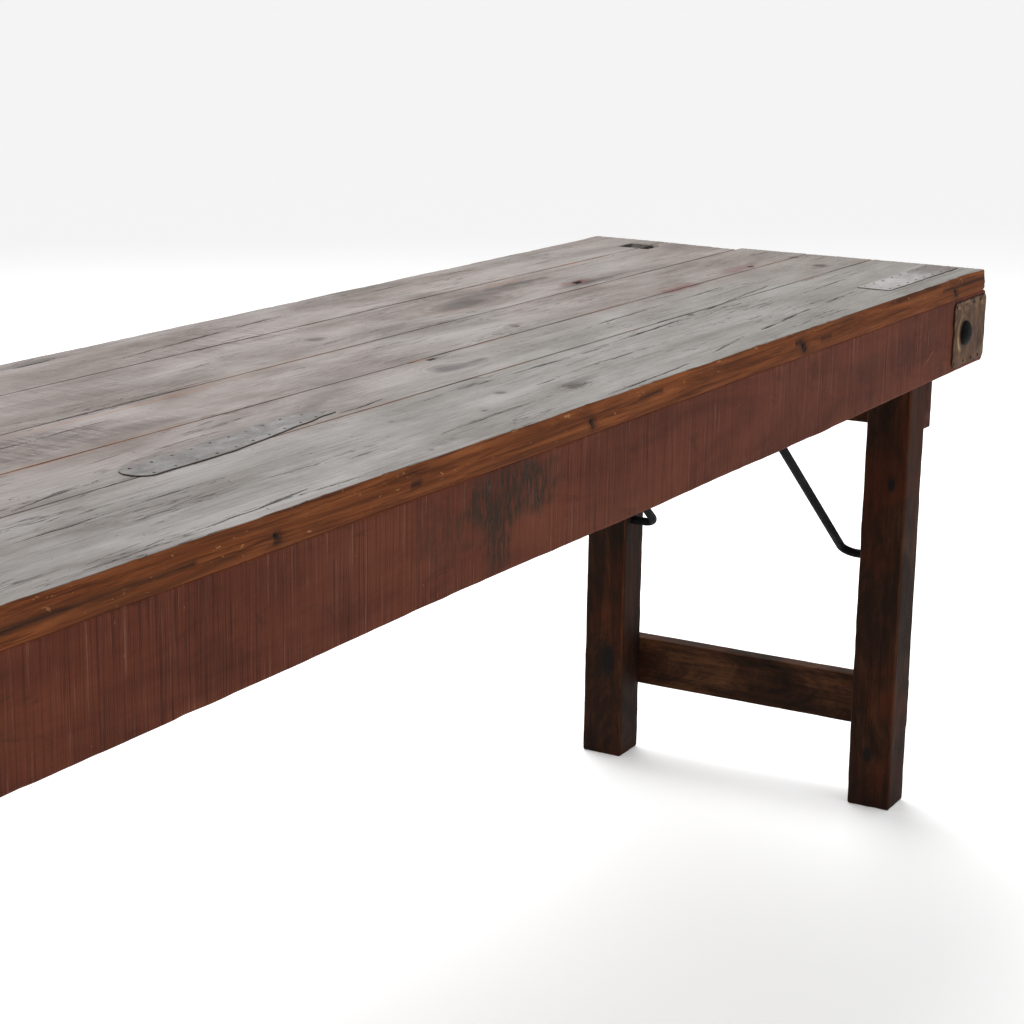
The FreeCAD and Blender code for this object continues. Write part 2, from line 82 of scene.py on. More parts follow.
def noise(x, y, z, seed=0):
    """Smooth noise from -1 to 1 at points given in noise cells."""
    x, y, z = np.broadcast_arrays(np.asarray(x, float), y, z)
    cell = [np.floor(c).astype(np.int64) for c in (x, y, z)]
    f = [c - i for c, i in zip((x, y, z), cell)]
    f = [t * t * (3 - 2 * t) for t in f]
    total = np.zeros(x.shape)
    for dx in (0, 1):
        for dy in (0, 1):
            for dz in (0, 1):
                w = (f[0] if dx else 1 - f[0]) * (f[1] if dy else 1 - f[1]) * (f[2] if dz else 1 - f[2])
                total += w * lattice(cell[0] + dx, cell[1] + dy, cell[2] + dz, seed)
    return total * 2 - 1


def fractal(x, y, z, seed=0, octaves=3):
    x, y, z = np.asarray(x, float), np.asarray(y, float), np.asarray(z, float)
    return sum(noise(x * 2 ** o, y * 2 ** o, z * 2 ** o, seed + o) / 2 ** o for o in range(octaves)) / 1.75


def smooth(edge0, edge1, v):
    t = np.clip((v - edge0) / (edge1 - edge0), 0, 1)
    return t * t * (3 - 2 * t)


# ---- board meshes ----
def stops(low, high, pitch, edge=0.009):
    """Positions from low to high: close together near the two edges and pitch apart between them."""
    edge = min(edge, (high - low) * 0.3)
    near = [0, 0.08, 0.2, 0.36, 0.58, 0.8, 1.0]
    count = max(2, int(round((high - low - 2 * edge) / pitch)))
    middle = list(np.linspace(low + edge, high - edge, count + 1))[1:-1]
    return np.array([low + edge * t for t in near] + middle + [high - edge * t for t in near[::-1]])


def box_surface(xs, ys, zs):
    """Points and quads of a closed box whose faces are divided at the given positions."""
    nx, ny, nz = len(xs), len(ys), len(zs)
    index = -np.ones((nx, ny, nz), np.int64)
    shell = np.zeros((nx, ny, nz), bool)
    shell[0], shell[-1] = True, True
    shell[:, 0], shell[:, -1] = True, True
    shell[:, :, 0], shell[:, :, -1] = True, True
    ids = np.argwhere(shell)
    index[shell] = np.arange(len(ids))
    points = np.stack([xs[ids[:, 0]], ys[ids[:, 1]], zs[ids[:, 2]]], 1)
    quads = []
    for sheet, flip in ((index[0], True), (index[-1], False), (index[:, 0], False),
                        (index[:, -1], True), (index[:, :, 0], True), (index[:, :, -1], False)):
        a, b, c, d = sheet[:-1, :-1], sheet[1:, :-1], sheet[1:, 1:], sheet[:-1, 1:]
        quad = np.stack([a, b, c, d], -1).reshape(-1, 4)
        quads.append(quad[:, ::-1] if flip else quad)
    return points, np.concatenate(quads)


def rounded(points, low, high, radius):
    """Rounds a box's edges; radius is one number or one per point."""
    low, high = np.array(low), np.array(high)
    r = np.broadcast_to(np.asarray(radius, float), len(points))[:, None]
    r = np.minimum(r, (high - low).min() * 0.49)
    core = np.clip(points, low + r, high - r)
    out = points - core
    length = np.linalg.norm(out, axis=1, keepdims=True)
    return np.where(length > 1e-9, core + out / np.maximum(length, 1e-9) * np.minimum(length, r), points)


def add_piece(name, mesh, material, body, node):
    """Puts a mesh in the scene as a smooth-shaded piece that rides on a body and stands for a CAD node."""
    mesh.shade_smooth()
    mesh.materials.append(material)
    piece = bpy.data.objects.new(name, mesh)
    bpy.context.scene.collection.objects.link(piece)
    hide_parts(node)
    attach(piece, body)


def mesh_object(name, points, quads, material, body, node, values):
    """A piece from arrays; each of values is stored at the points for its material to read."""
    mesh = bpy.data.meshes.new(name)
    mesh.from_pydata(points.tolist(), [], quads.tolist())
    mesh.validate()
    for key, data in values.items():
        layer = mesh.attributes.new(key, "FLOAT", "POINT")
        layer.data.foreach_set("value", np.asarray(data, np.float32))
    add_piece(name, mesh, material, body, node)


# ---- node materials ----
class Nodes:
    """Short calls for building one material's nodes."""

    def __init__(self, name):
        self.material = bpy.data.materials.new(name)
        self.material.use_nodes = True
        self.tree = self.material.node_tree
        self.shader = self.tree.nodes["Principled BSDF"]
        self.position = self.add("ShaderNodeTexCoord").outputs["Object"]

    def add(self, kind, **settings):
        node = self.tree.nodes.new(kind)
        for key, value in settings.items():
            setattr(node, key, value)
        return node

    def put(self, value, socket):
        if isinstance(value, bpy.types.NodeSocket):
            self.tree.links.new(value, socket)
        else:
            socket.default_value = value

    def stretched(self, scale, turn):
        mapping = self.add("ShaderNodeMapping")
        self.put(self.position, mapping.inputs["Vector"])
        mapping.inputs["Scale"].default_value = scale
        mapping.inputs["Rotation"].default_value = turn
        return mapping.outputs["Vector"]

    def noise(self, scale, detail=4.0, rough=0.55, warp=0.0, turn=(0, 0, 0)):
        node = self.add("ShaderNodeTexNoise")
        self.put(self.stretched(scale, turn), node.inputs["Vector"])
        node.inputs["Scale"].default_value = 1.0
        node.inputs["Detail"].default_value = detail
        node.inputs["Roughness"].default_value = rough
        node.inputs["Distortion"].default_value = warp
        return node.outputs["Fac"]

    def ramp(self, value, *steps):
        node = self.add("ShaderNodeValToRGB")
        self.put(value, node.inputs["Fac"])
        band = node.color_ramp
        while len(band.elements) < len(steps):
            band.elements.new(0.5)
        for element, (at, colour) in zip(band.elements, steps):
            element.position = at
            colour = (colour, colour, colour) if isinstance(colour, (int, float)) else colour
            element.color = (*colour[:3], 1)
        return node.outputs["Color"]

    def mix(self, amount, a, b):
        node = self.add("ShaderNodeMix", data_type="RGBA")
        self.put(amount, node.inputs[0])
        self.put(a if isinstance(a, bpy.types.NodeSocket) else (*a, 1), node.inputs[6])
        self.put(b if isinstance(b, bpy.types.NodeSocket) else (*b, 1), node.inputs[7])
        return node.outputs[2]

    def math(self, how, a, b=0.0, clamp=False):
        node = self.add("ShaderNodeMath", operation=how, use_clamp=clamp)
        for value, socket in zip((a, b), node.inputs):
            self.put(value, socket)
        return node.outputs[0]

    def band(self, value, centre, half):
        """1 on the thin contour where value is centre, 0 away from it."""
        off = self.math("ABSOLUTE", self.math("SUBTRACT", value, centre))
        return self.math("SUBTRACT", 1.0, self.math("DIVIDE", off, half), clamp=True)

    def shift_across(self, name):
        """Moves this material's texture lookups in Y by a stored distance in metres."""
        move = self.add("ShaderNodeCombineXYZ")
        self.put(self.value(name), move.inputs[1])
        total = self.add("ShaderNodeVectorMath", operation="ADD")
        self.put(self.position, total.inputs[0])
        self.put(move.outputs[0], total.inputs[1])
        self.position = total.outputs[0]

    def inside(self, name, jitter, soft):
        """1 where a stored distance in mm is below 0, with an uneven rim."""
        rim = self.noise((420, 900, 900), 3, 0.6)
        uneven = self.math("MULTIPLY", self.math("SUBTRACT", rim, 0.5), jitter)
        off = self.math("ADD", self.value(name), uneven)
        return self.math("SUBTRACT", 0.5, self.math("DIVIDE", off, soft), clamp=True)

    def rings(self, name, rate, reach):
        """Growth rings round the knots: name stores the distance from the nearest knot in knot radii."""
        away = self.value(name)
        turns = self.math("ADD", self.math("MULTIPLY", away, rate), self.noise((30, 60, 60), 3))
        wave = self.math("SINE", turns)
        ring = self.math("MULTIPLY", self.math("ADD", wave, 1.0), 0.5)
        fade = self.math("SUBTRACT", 1.0, self.math("DIVIDE", away, reach), clamp=True)
        return self.math("MULTIPLY", ring, fade), self.math("SUBTRACT", 1.15, away, clamp=True)

    def value(self, name):
        return self.add("ShaderNodeAttribute", attribute_name=name).outputs["Fac"]

    def finish(self, colour, roughness, height, depth, metallic=0.0, specular=0.5):
        self.put(colour, self.shader.inputs["Base Color"])
        self.put(roughness, self.shader.inputs["Roughness"])
        self.shader.inputs["Metallic"].default_value = metallic
        self.shader.inputs["Specular IOR Level"].default_value = specular
        bump = self.add("ShaderNodeBump")
        bump.inputs["Strength"].default_value = 1.0
        bump.inputs["Distance"].default_value = depth
        self.put(height, bump.inputs["Height"])
        self.put(bump.outputs["Normal"], self.shader.inputs["Normal"])
        return self.material


def srgb(r, g, b):
    """Linear colour from 0 to 255 display values."""
    return tuple((c / 255 / 12.92) if c <= 10 else ((c / 255 + 0.055) / 1.055) ** 2.4 for c in (r, g, b))


def grain_scale(along, length_cells, cross_cells):
    """Noise cells per metre, few along the grain and many across it."""
    return tuple(length_cells if axis == along else cross_cells for axis in "XYZ")


def top_wood():
    """Weathered grey planks, browner at the far side: hairline grain, cracks, knots, saw marks and dirt."""
    n = Nodes("top_wood")
    n.shift_across("swirl")
    mottle = n.noise((5, 17, 17), 5, 0.6, 0.3)
    cloud = n.noise((2.0, 6, 6), 4, 0.6, 0.4)
    grain = n.noise((2.6, 210, 210), 5, 0.62, 0.1)
    hair = n.noise((5, 620, 620), 3, 0.6)
    fuzz = n.noise((60, 500, 500), 3, 0.6)
    saw = n.noise((150, 18, 18), 5, 0.68, 0.3, (0, 0, 0.5))
    speck = n.noise((120, 190, 190), 3, 0.5)
    drift = n.math("MULTIPLY", n.math("SUBTRACT", cloud, 0.5), 1.5)
    # warm: browner towards the far side and the left end, partly weathering and partly painted shade, with
    # random drift.
    warm = n.math("ADD", n.value("warm"), drift, clamp=True)
    grey = n.ramp(mottle, (0.34, srgb(111, 107, 102)), (0.52, srgb(122, 119, 114)),
                  (0.70, srgb(131, 128, 124)))
    brown = n.ramp(mottle, (0.32, srgb(88, 73, 66)), (0.50, srgb(113, 99, 93)), (0.70, srgb(131, 120, 115)))
    colour = n.mix(warm, grey, brown)
    colour = n.mix(n.ramp(grain, (0.36, 0.42), (0.46, 0.0)), colour, srgb(76, 64, 57))
    colour = n.mix(n.ramp(hair, (0.36, 0.30), (0.48, 0.0)), colour, srgb(80, 69, 63))
    colour = n.mix(n.ramp(fuzz, (0.54, 0.0), (0.70, 0.22)), colour, srgb(156, 155, 152))
    marks = n.math("MULTIPLY", n.value("saw"), n.ramp(saw, (0.46, 0.0), (0.56, 0.9)))
    colour = n.mix(marks, colour, srgb(62, 45, 39))
    stray = n.math("MULTIPLY", n.ramp(cloud, (0.50, 0.0), (0.62, 0.5)), n.ramp(saw, (0.52, 0.0), (0.62, 0.6)))
    colour = n.mix(n.math("MULTIPLY", stray, warm), colour, srgb(70, 52, 45))
    check = n.band(n.noise((3.2, 58, 58), 4, 0.55, 0.15), 0.5, 0.009)
    check = n.math("MULTIPLY", check, n.ramp(n.noise((6, 22, 22), 3), (0.52, 0.0), (0.58, 0.9)))
    colour = n.mix(check, colour, srgb(48, 34, 28))
    colour = n.mix(n.ramp(speck, (0.71, 0.0), (0.75, 0.85)), colour, srgb(46, 33, 28))
    streaks = n.ramp(n.noise((9, 130, 130), 4, 0.65, 0.3), (0.36, 0.25), (0.58, 1.0))
    colour = n.mix(n.math("MULTIPLY", n.value("orange"), streaks), colour, srgb(122, 84, 58))
    colour = n.mix(n.math("MULTIPLY", n.value("red"), streaks), colour, srgb(92, 48, 40))
    ring, core = n.rings("knot", 13.0, 2.4)
    colour = n.mix(n.math("MULTIPLY", ring, 0.8), colour, srgb(76, 56, 44))
    colour = n.mix(n.math("MULTIPLY", core, 1.6, clamp=True), colour, srgb(50, 33, 25))
    edge = n.ramp(n.noise((4, 30, 95), 7, 0.68, 0.8), (0.32, srgb(62, 31, 14)), (0.48, srgb(106, 56, 27)),
                  (0.66, srgb(136, 79, 43)))
    edge = n.mix(n.ramp(n.noise((10, 40, 420), 5, 0.66), (0.34, 0.65), (0.46, 0.0)), edge, srgb(46, 23, 11))
    edge = n.mix(n.ramp(n.noise((90, 60, 260), 3, 0.6), (0.66, 0.0), (0.72, 0.7)), edge, srgb(168, 122, 78))
    colour = n.mix(n.value("side"), colour, edge)
    stained = n.math("MULTIPLY", n.value("dark"), n.ramp(streaks, (0.2, 0.45), (0.9, 1.15)), clamp=True)
    colour = n.mix(stained, colour, srgb(44, 27, 19))
    line = n.inside("crack", 1.1, 0.5)
    colour = n.mix(n.math("MULTIPLY", line, 0.95), colour, srgb(26, 16, 12))
    roughness = n.mix(n.value("side"), n.ramp(mottle, (0.35, 0.66), (0.65, 0.50)), (0.9, 0.9, 0.9))
    height = n.math("ADD", n.math("MULTIPLY", grain, 0.6), n.math("MULTIPLY", hair, 0.25))
    height = n.math("SUBTRACT", height, n.math("MULTIPLY", n.math("MAXIMUM", line, check), 0.8))
    return n.finish(colour, roughness, height, 0.0008, specular=0.14)


def apron_wood(along):
    """Worn red-brown paint over saw-kerfed boards."""
    n = Nodes("apron_wood_" + along)
    fine = {"X": (760, 760, 6), "Y": (6, 760, 6)}[along]
    wide = {"X": (250, 250, 9), "Y": (9, 250, 9)}[along]
    kerf = n.noise(fine, 4, 0.68, 0.05)
    coarse = n.noise(wide, 5, 0.7, 0.1)
    where = n.noise((4.5, 8, 11), 5, 0.65, 0.6)
    broad = n.noise(grain_scale(along, 3.2, 13), 6, 0.65, 0.8)
    patchy = n.noise((14, 20, 26), 8, 0.75, 0.9)
    scuff = n.noise((170, 170, 34), 6, 0.70, 0.4)
    speck = n.noise((210, 210, 160), 3, 0.5)
    colour = n.ramp(broad, (0.30, srgb(68, 31, 19)), (0.50, srgb(90, 44, 28)), (0.70, srgb(102, 54, 36)))
    colour = n.mix(n.ramp(patchy, (0.56, 0.0), (0.68, 0.55)), colour, srgb(54, 31, 20))
    here = n.ramp(where, (0.36, 0.40), (0.58, 1.0))
    cut = n.math("MULTIPLY", n.ramp(kerf, (0.38, 0.75), (0.50, 0.0)), here)
    colour = n.mix(cut, colour, srgb(48, 22, 15))
    here = n.ramp(where, (0.42, 0.2), (0.60, 1.0))
    cut = n.math("MULTIPLY", n.ramp(coarse, (0.34, 0.65), (0.44, 0.0)), here)
    colour = n.mix(cut, colour, srgb(46, 21, 14))
    broken = n.ramp(kerf, (0.44, 0.3), (0.60, 1.0))
    pale = n.math("MULTIPLY", n.ramp(coarse, (0.58, 0.0), (0.72, 0.5)), broken)
    colour = n.mix(pale, colour, srgb(146, 104, 88))
    grime = n.math("MULTIPLY", n.value("grime"), n.ramp(scuff, (0.42, 0.10), (0.54, 1.0)))
    colour = n.mix(grime, colour, srgb(46, 33, 23))
    scraped = n.math("MULTIPLY", n.value("grime"), n.ramp(scuff, (0.58, 0.0), (0.70, 0.35)))
    colour = n.mix(scraped, colour, srgb(128, 96, 76))
    colour = n.mix(n.ramp(speck, (0.73, 0.0), (0.77, 0.6)), colour, srgb(150, 112, 92))
    colour = n.mix(n.math("MULTIPLY", n.value("wear"), 0.85), colour, srgb(118, 62, 34))
    colour = n.mix(n.math("MULTIPLY", n.value("dark"), 0.85, clamp=True), colour, srgb(28, 15, 10))
    height = n.math("ADD", n.math("MULTIPLY", kerf, 0.5), n.math("MULTIPLY", coarse, 0.5))
    return n.finish(colour, n.ramp(coarse, (0.3, 0.85), (0.7, 0.72)), height, 0.0007, specular=0.12)


def frame_wood(along, middle, light):
    """Dark oiled brown legs and rails with worn warmer arrises, knots and small holes."""
    n = Nodes("frame_wood_" + along)
    mottle = n.noise(grain_scale(along, 6, 17), 8, 0.72, 0.7)
    figure = n.noise(grain_scale(along, 4, 75), 6, 0.62, 0.6)
    fibre = n.noise(grain_scale(along, 9, 460), 4, 0.65, 0.1)
    red = n.noise((5, 7, 7), 4, 0.6, 0.7)
    speck = n.noise((110, 110, 110), 3, 0.5)
    colour = n.ramp(mottle, (0.32, srgb(16, 8, 3)), (0.50, middle), (0.68, light))
    colour = n.mix(n.ramp(red, (0.46, 0.0), (0.62, 0.6)), colour, srgb(72, 31, 12))
    colour = n.mix(n.ramp(figure, (0.38, 0.5), (0.50, 0.0)), colour, srgb(22, 12, 6))
    colour = n.mix(n.ramp(fibre, (0.36, 0.45), (0.48, 0.0)), colour, srgb(16, 9, 5))
    colour = n.mix(n.ramp(speck, (0.73, 0.0), (0.78, 0.85)), colour, srgb(12, 8, 6))
    colour = n.mix(n.math("MULTIPLY", n.value("wear"), 0.7), colour, srgb(122, 68, 36))
    # Stored dark: random dirt, darker towards the legs' feet, and painted shade on the near posts and on the
    # posts' inner faces.
    colour = n.mix(n.math("MULTIPLY", n.value("dark"), 0.9, clamp=True), colour, srgb(14, 9, 7))
    ring, core = n.rings("knot", 11.0, 1.8)
    colour = n.mix(n.math("MULTIPLY", ring, 0.5), colour, srgb(12, 7, 4))
    colour = n.mix(n.math("MULTIPLY", core, 2.2, clamp=True), colour, srgb(20, 15, 13))
    height = n.math("ADD", n.math("MULTIPLY", figure, 0.4), n.math("MULTIPLY", fibre, 0.5))
    return n.finish(colour, n.ramp(mottle, (0.3, 0.85), (0.7, 0.7)), height, 0.0008, specular=0.10)


def tin():
    """Dull grey zinc sheet with brown stains that let it sink into the wood's colour."""
    n = Nodes("tin")
    cloud = n.noise((22, 38, 38), 7, 0.7, 0.9)
    fine = n.noise((190, 280, 280), 5, 0.75, 0.3)
    dull = n.ramp(cloud, (0.32, srgb(50, 43, 38)), (0.50, srgb(65, 60, 56)), (0.68, srgb(82, 79, 76)))
    bright = n.ramp(cloud, (0.32, srgb(112, 108, 105)), (0.50, srgb(136, 134, 132)),
                    (0.68, srgb(152, 151, 151)))
    colour = n.mix(n.value("pale"), dull, bright)
    colour = n.mix(n.ramp(fine, (0.54, 0.0), (0.66, 0.5)), colour, srgb(88, 72, 61))
    dirt = n.ramp(n.noise((16, 40, 40), 6, 0.7, 0.6), (0.42, 0.2), (0.58, 1.0))
    colour = n.mix(n.math("MULTIPLY", n.value("dark"), dirt), colour, srgb(84, 68, 60))
    roughness = n.ramp(cloud, (0.3, 0.66), (0.7, 0.50))
    return n.finish(colour, roughness, fine, 0.0004, metallic=0.2, specular=0.3)


def plate_metal():
    """Khaki and brown patina on old sheet iron."""
    n = Nodes("plate_metal")
    cloud = n.noise((34, 30, 26), 7, 0.7, 0.9)
    fine = n.noise((260, 260, 240), 4, 0.7, 0.2)
    colour = n.ramp(cloud, (0.32, srgb(48, 29, 14)), (0.48, srgb(80, 50, 26)), (0.66, srgb(108, 76, 42)))
    colour = n.mix(n.ramp(fine, (0.54, 0.0), (0.70, 0.6)), colour, srgb(62, 35, 18))
    # Pale: bare metal beside the bolt, and rubbed nicks with a painted highlight along the upper rim.
    colour = n.mix(n.value("pale"), colour, srgb(160, 134, 98))
    colour = n.mix(n.value("dark"), colour, srgb(36, 22, 14))
    return n.finish(colour, n.ramp(cloud, (0.3, 0.75), (0.7, 0.58)), fine, 0.0006, specular=0.2)


def iron(name, dark, middle, light, metallic, specular):
    """Iron in three tones from its hollows to its rubbed places, with a trace of rust."""
    n = Nodes(name)
    cloud = n.noise((60, 60, 60), 5, 0.65, 0.5)
    fine = n.noise((500, 500, 500), 4, 0.7, 0.2)
    colour = n.ramp(cloud, (0.34, dark), (0.54, middle), (0.72, light))
    colour = n.mix(n.ramp(fine, (0.60, 0.0), (0.76, 0.4)), colour, srgb(58, 37, 27))
    return n.finish(colour, n.ramp(cloud, (0.3, 0.72), (0.7, 0.56)), fine, 0.0004, metallic, specular)


TOP_WOOD = top_wood()
APRON_X, APRON_Y = apron_wood("X"), apron_wood("Y")
FRAME_Y = frame_wood("Y", srgb(54, 31, 17), srgb(92, 58, 34))
FRAME_Z = frame_wood("Z", srgb(38, 19, 8), srgb(68, 37, 17))
TIN, PLATE = tin(), plate_metal()
IRON = iron("iron", srgb(8, 8, 9), srgb(14, 14, 15), srgb(28, 26, 26), 0.0, 0.08)
TACK_IRON = iron("tack_iron", srgb(66, 60, 56), srgb(88, 84, 80), srgb(106, 104, 101), 0.7, 0.5)


# ---- the top ----
# Cracks along the grain: x0, y0, x1, y1, half width and depth, in millimetres.
CRACKS = [
    (-140, -154, 260, -159, 1.5, 2.4), (250, -159, 560, -143, 1.6, 2.4), (550, -144, 890, -112, 1.4, 2.0),
    (18, -294, 300, -276, 1.6, 2.4), (284, -277, 480, -250, 1.5, 2.2), (470, -252, 700, -237, 1.7, 2.6),
    (690, -238, 870, -228, 1.3, 2.0), (-760, -288, -390, -270, 1.4, 2.2), (-579, -268, -322, -287, 1.2, 1.8),
    (-640, -131, -476, -110, 1.5, 2.2), (-213, -124, -20, -118, 1.5, 2.2), (-592, -94, -562, -118, 1.8, 2.4),
    (-566, -118, -538, -119, 1.8, 2.4), (-115, 214, 335, 250, 1.4, 2.2), (-900, -196, -420, -188, 1.1, 1.8),
    (-40, -206, 520, -196, 1.0, 1.6), (560, -186, 1010, -176, 1.0, 1.5), (-1080, -232, -640, -222, 1.2, 1.7),
    (-300, -252, 120, -244, 1.0, 1.5), (330, -84, 900, -74, 1.0, 1.6), (-700, 24, -260, 30, 1.2, 1.6),
    (-1100, 118, -560, 128, 1.3, 1.9), (60, 96, 380, 104, 1.0, 1.6), (-900, 236, -360, 246, 1.3, 1.8),
    (-190, 268, 60, 284, 1.6, 2.4), (420, 262, 900, 270, 1.0, 1.5),
]
# Knots: x, y, half length, half width and dip in millimetres.
KNOTS = [
    (92, -84, 26, 13, 1.2), (77, -239, 18, 9, 0.6), (1044, -100, 14, 10, 0.5), (467, 121, 62, 20, 0.8),
    (550, -140, 7, 5, 0.5), (4, -196, 9, 6, 0.5), (359, -11, 9, 6, 0.5), (155, 123, 14, 10, 0.5),
    (1102, -37, 8, 6, 0.5), (-172, -184, 4, 3, 0.4), (-253, -276, 4, 3, 0.4), (-80, -228, 5, 3, 0.4),
    (-700, 90, 30, 16, 0.8), (-880, -190, 16, 9, 0.6), (-1010, 150, 22, 13, 0.8), (-760, -60, 12, 8, 0.5),
]
# Holes: x, y, half length, half width and depth in millimetres.
HOLES = [(1080, 193, 21, 24, 4.5), (708, 94, 13, 5, 4.0), (978, -27, 7, 4, 2.5), (122, -46, 9, 3, 2.0)]
# Stains: x, y, half length, half width, strength.
DARK_STAINS = [
    (640, 150, 120, 11, 0.75), (730, 84, 110, 10, 0.7), (545, 138, 120, 12, 0.55), (420, 112, 60, 12, 0.5),
    (-140, 276, 90, 10, 0.6), (112, -90, 60, 12, 0.75), (104, -229, 46, 9, 0.55), (900, 40, 60, 10, 0.3),
    (-560, 195, 200, 14, 0.4),
]
ORANGE_STAINS = [
    (-600, -38, 420, 7, 0.9), (106, -40, 24, 6, 0.9), (420, 118, 60, 26, 0.45), (640, 168, 120, 5, 0.7),
    (-260, 52, 260, 6, 0.7), (876, 184, 90, 6, 0.7),
]
RED_STAINS = [
    (732, -32, 70, 17, 0.95), (945, -22, 80, 15, 0.8), (702, 94, 50, 14, 0.9), (520, 60, 90, 6, 0.4),
]
# Patches of saw marks across the grain, as stains are.
SAW_ZONES = [
    (-440, 12, 130, 40, 0.9), (-700, 30, 200, 60, 0.6), (-310, -8, 60, 18, 0.5), (-240, 150, 160, 70, 0.35),
    (60, 200, 180, 60, 0.35), (-900, 140, 200, 90, 0.5),
]
NO_KNOT = 4.0                # stored where no knot is near, in knot radii
NO_CRACK = 9.0               # stored where no crack is near, in millimetres


def blob(x, y, spot):
    """1 in the middle of an oval spot, falling to 0 at its uneven rim."""
    cx, cy, half_x, half_y = spot[:4]
    d = np.hypot((x - cx) / half_x, (y - cy) / half_y)
    return 1 - smooth(0.45, 1.15, d + 0.22 * noise(x / 14, y / 7, 0, 31))


def strongest(x, y, spots):
    return np.max([blob(x, y, spot) * spot[4] for spot in spots], axis=0)


def top_marks(x, y):
    """Depth to sink and the stored values that the top's material reads, at points given in mm."""
    sink, crack = np.zeros(len(x)), np.full(len(x), NO_CRACK)
    for i, (x0, y0, x1, y1, half, depth) in enumerate(CRACKS):
        t = (x - x0) / (x1 - x0)
        line = y0 + (y1 - y0) * t + 2.2 * noise(x / 70, i, 0, 41) + 0.7 * noise(x / 17, i, 0, 42)
        taper = np.clip(np.minimum(t, 1 - t) * 6, 0, 1)
        width = half * (0.62 + 0.5 * noise(x / 40, i, 0, 43)) - 2.4 * (1 - taper)
        away = np.abs(y - line) - width
        on = (t > 0) & (t < 1)
        crack = np.where(on, np.minimum(crack, away), crack)
        sink = np.maximum(sink, np.where(on, (1 - smooth(-0.8, 0.6, away)) * 0.55 * depth * taper, 0))
    for cx, cy, half_x, half_y, depth in HOLES:
        away = np.maximum(np.abs(x - cx) - half_x, np.abs(y - cy) - half_y) + 0.9 * noise(x / 9, y / 6, 0, 44)
        crack = np.minimum(crack, away)
        sink = np.maximum(sink, (1 - smooth(-3.0, 0.5, away)) * depth)
    knot, swirl = np.full(len(x), NO_KNOT), np.zeros(len(x))
    for cx, cy, half_x, half_y, depth in KNOTS:
        r = np.hypot((x - cx) / half_x, (y - cy) / half_y) * (1 + 0.14 * noise(x / 18, y / 9, 0, 45))
        knot = np.minimum(knot, r)
        sink = np.maximum(sink, (1 - smooth(0.3, 1.3, r)) * depth)
        spread = ((x - cx) / (half_x * 1.9)) ** 2 + ((y - cy) / (half_y * 2.1)) ** 2
        swirl -= (y - cy) * 0.85 * np.exp(-spread)
    dark, orange = strongest(x, y, DARK_STAINS), strongest(x, y, ORANGE_STAINS)
    for seam in SEAM_YS:
        gap = np.abs(y - seam)
        closed = 0.5 + 0.75 * noise(x / 85, seam, 0, 61)
        dark = np.maximum(dark, np.exp(-(gap / 1.5) ** 2) * np.clip(closed, 0.05, 1))
        dirt = 0.10 + 0.55 * noise(x / 130, seam, 0, 62)
        orange = np.maximum(orange, np.exp(-(gap / 5.5) ** 2) * np.clip(dirt, 0, 1))
    # Browner towards the far side; browner and darker towards the left end, which is partly dirt and partly
    # painted shade.
    warm = smooth(-190, 20, y) * 0.75 + 0.45 * smooth(250, -600, x)
    return sink, {"crack": crack, "knot": knot, "swirl": swirl * MM, "dark": np.clip(dark, 0, 1),
                  "orange": np.clip(orange, 0, 1), "red": strongest(x, y, RED_STAINS),
                  "saw": strongest(x, y, SAW_ZONES), "warm": warm}


def under_tin(x, y):
    """1 under and close round a tin patch, where the surface has to stay flat."""
    flat = np.zeros(len(x))
    margin = 4
    for node in ("tin_patch_middle", "tin_patch_corner"):
        low, high = box_mm(node)
        in_x = (x > low.x - margin) & (x < high.x + margin)
        in_y = (y > low.y - margin) & (y < high.y + margin)
        flat = np.maximum(flat, in_x & in_y)
    return flat


EDGE_NAIL_XS = [514 * k for k in range(-2, 3)]
EDGE_NAIL_Z = UNDERSIDE_Z + 10


def plank_radius(x, y, z, on_outer, ends, number):
    """How rounded a plank's edges are: worn along the table's long edges, uneven at the ends."""
    base = 0.9 + 0.5 * noise(x / 60, y / 30, number, 5)
    worn = 1.8 + 0.9 * noise(x / 130, 0, number, 6) + 0.7 * noise(x / 28, 0, number, 7)
    radius = np.where(on_outer & (z > TOP_Z - 15), worn, base)
    radius = np.where(ends < 9, 1.9 + 0.9 * noise(y / 17, z / 9, number, 8), radius)
    radius = np.where((ends < 9) & (z < UNDERSIDE_Z + 8) & on_outer, 4.5, radius)
    return np.clip(radius, 0.7, 9)


def slant_ends(points, y, z, low, high, corners, number):
    """Moves a plank's ends to the slant of the saw cut, which differs at each plank."""
    share = np.clip((points[:, 1] - low.y) / (high.y - low.y), 0, 1)
    corner_reach = 6 * MM
    for side, limit in ((1, high.x), (-1, low.x)):
        at_near = max(side * corners[np.abs(corners[:, 1] - low.y) < corner_reach][:, 0])
        at_far = max(side * corners[np.abs(corners[:, 1] - high.y) < corner_reach][:, 0])
        fray = 0.6 * (1 + noise(y / 6, z / 4, number + side, 9)) * MM
        cut = at_near + (at_far - at_near) * share - fray
        reach = smooth(0.94, 1.0, side * points[:, 0] / abs(limit))
        points[:, 0] += side * reach * (cut - abs(limit))


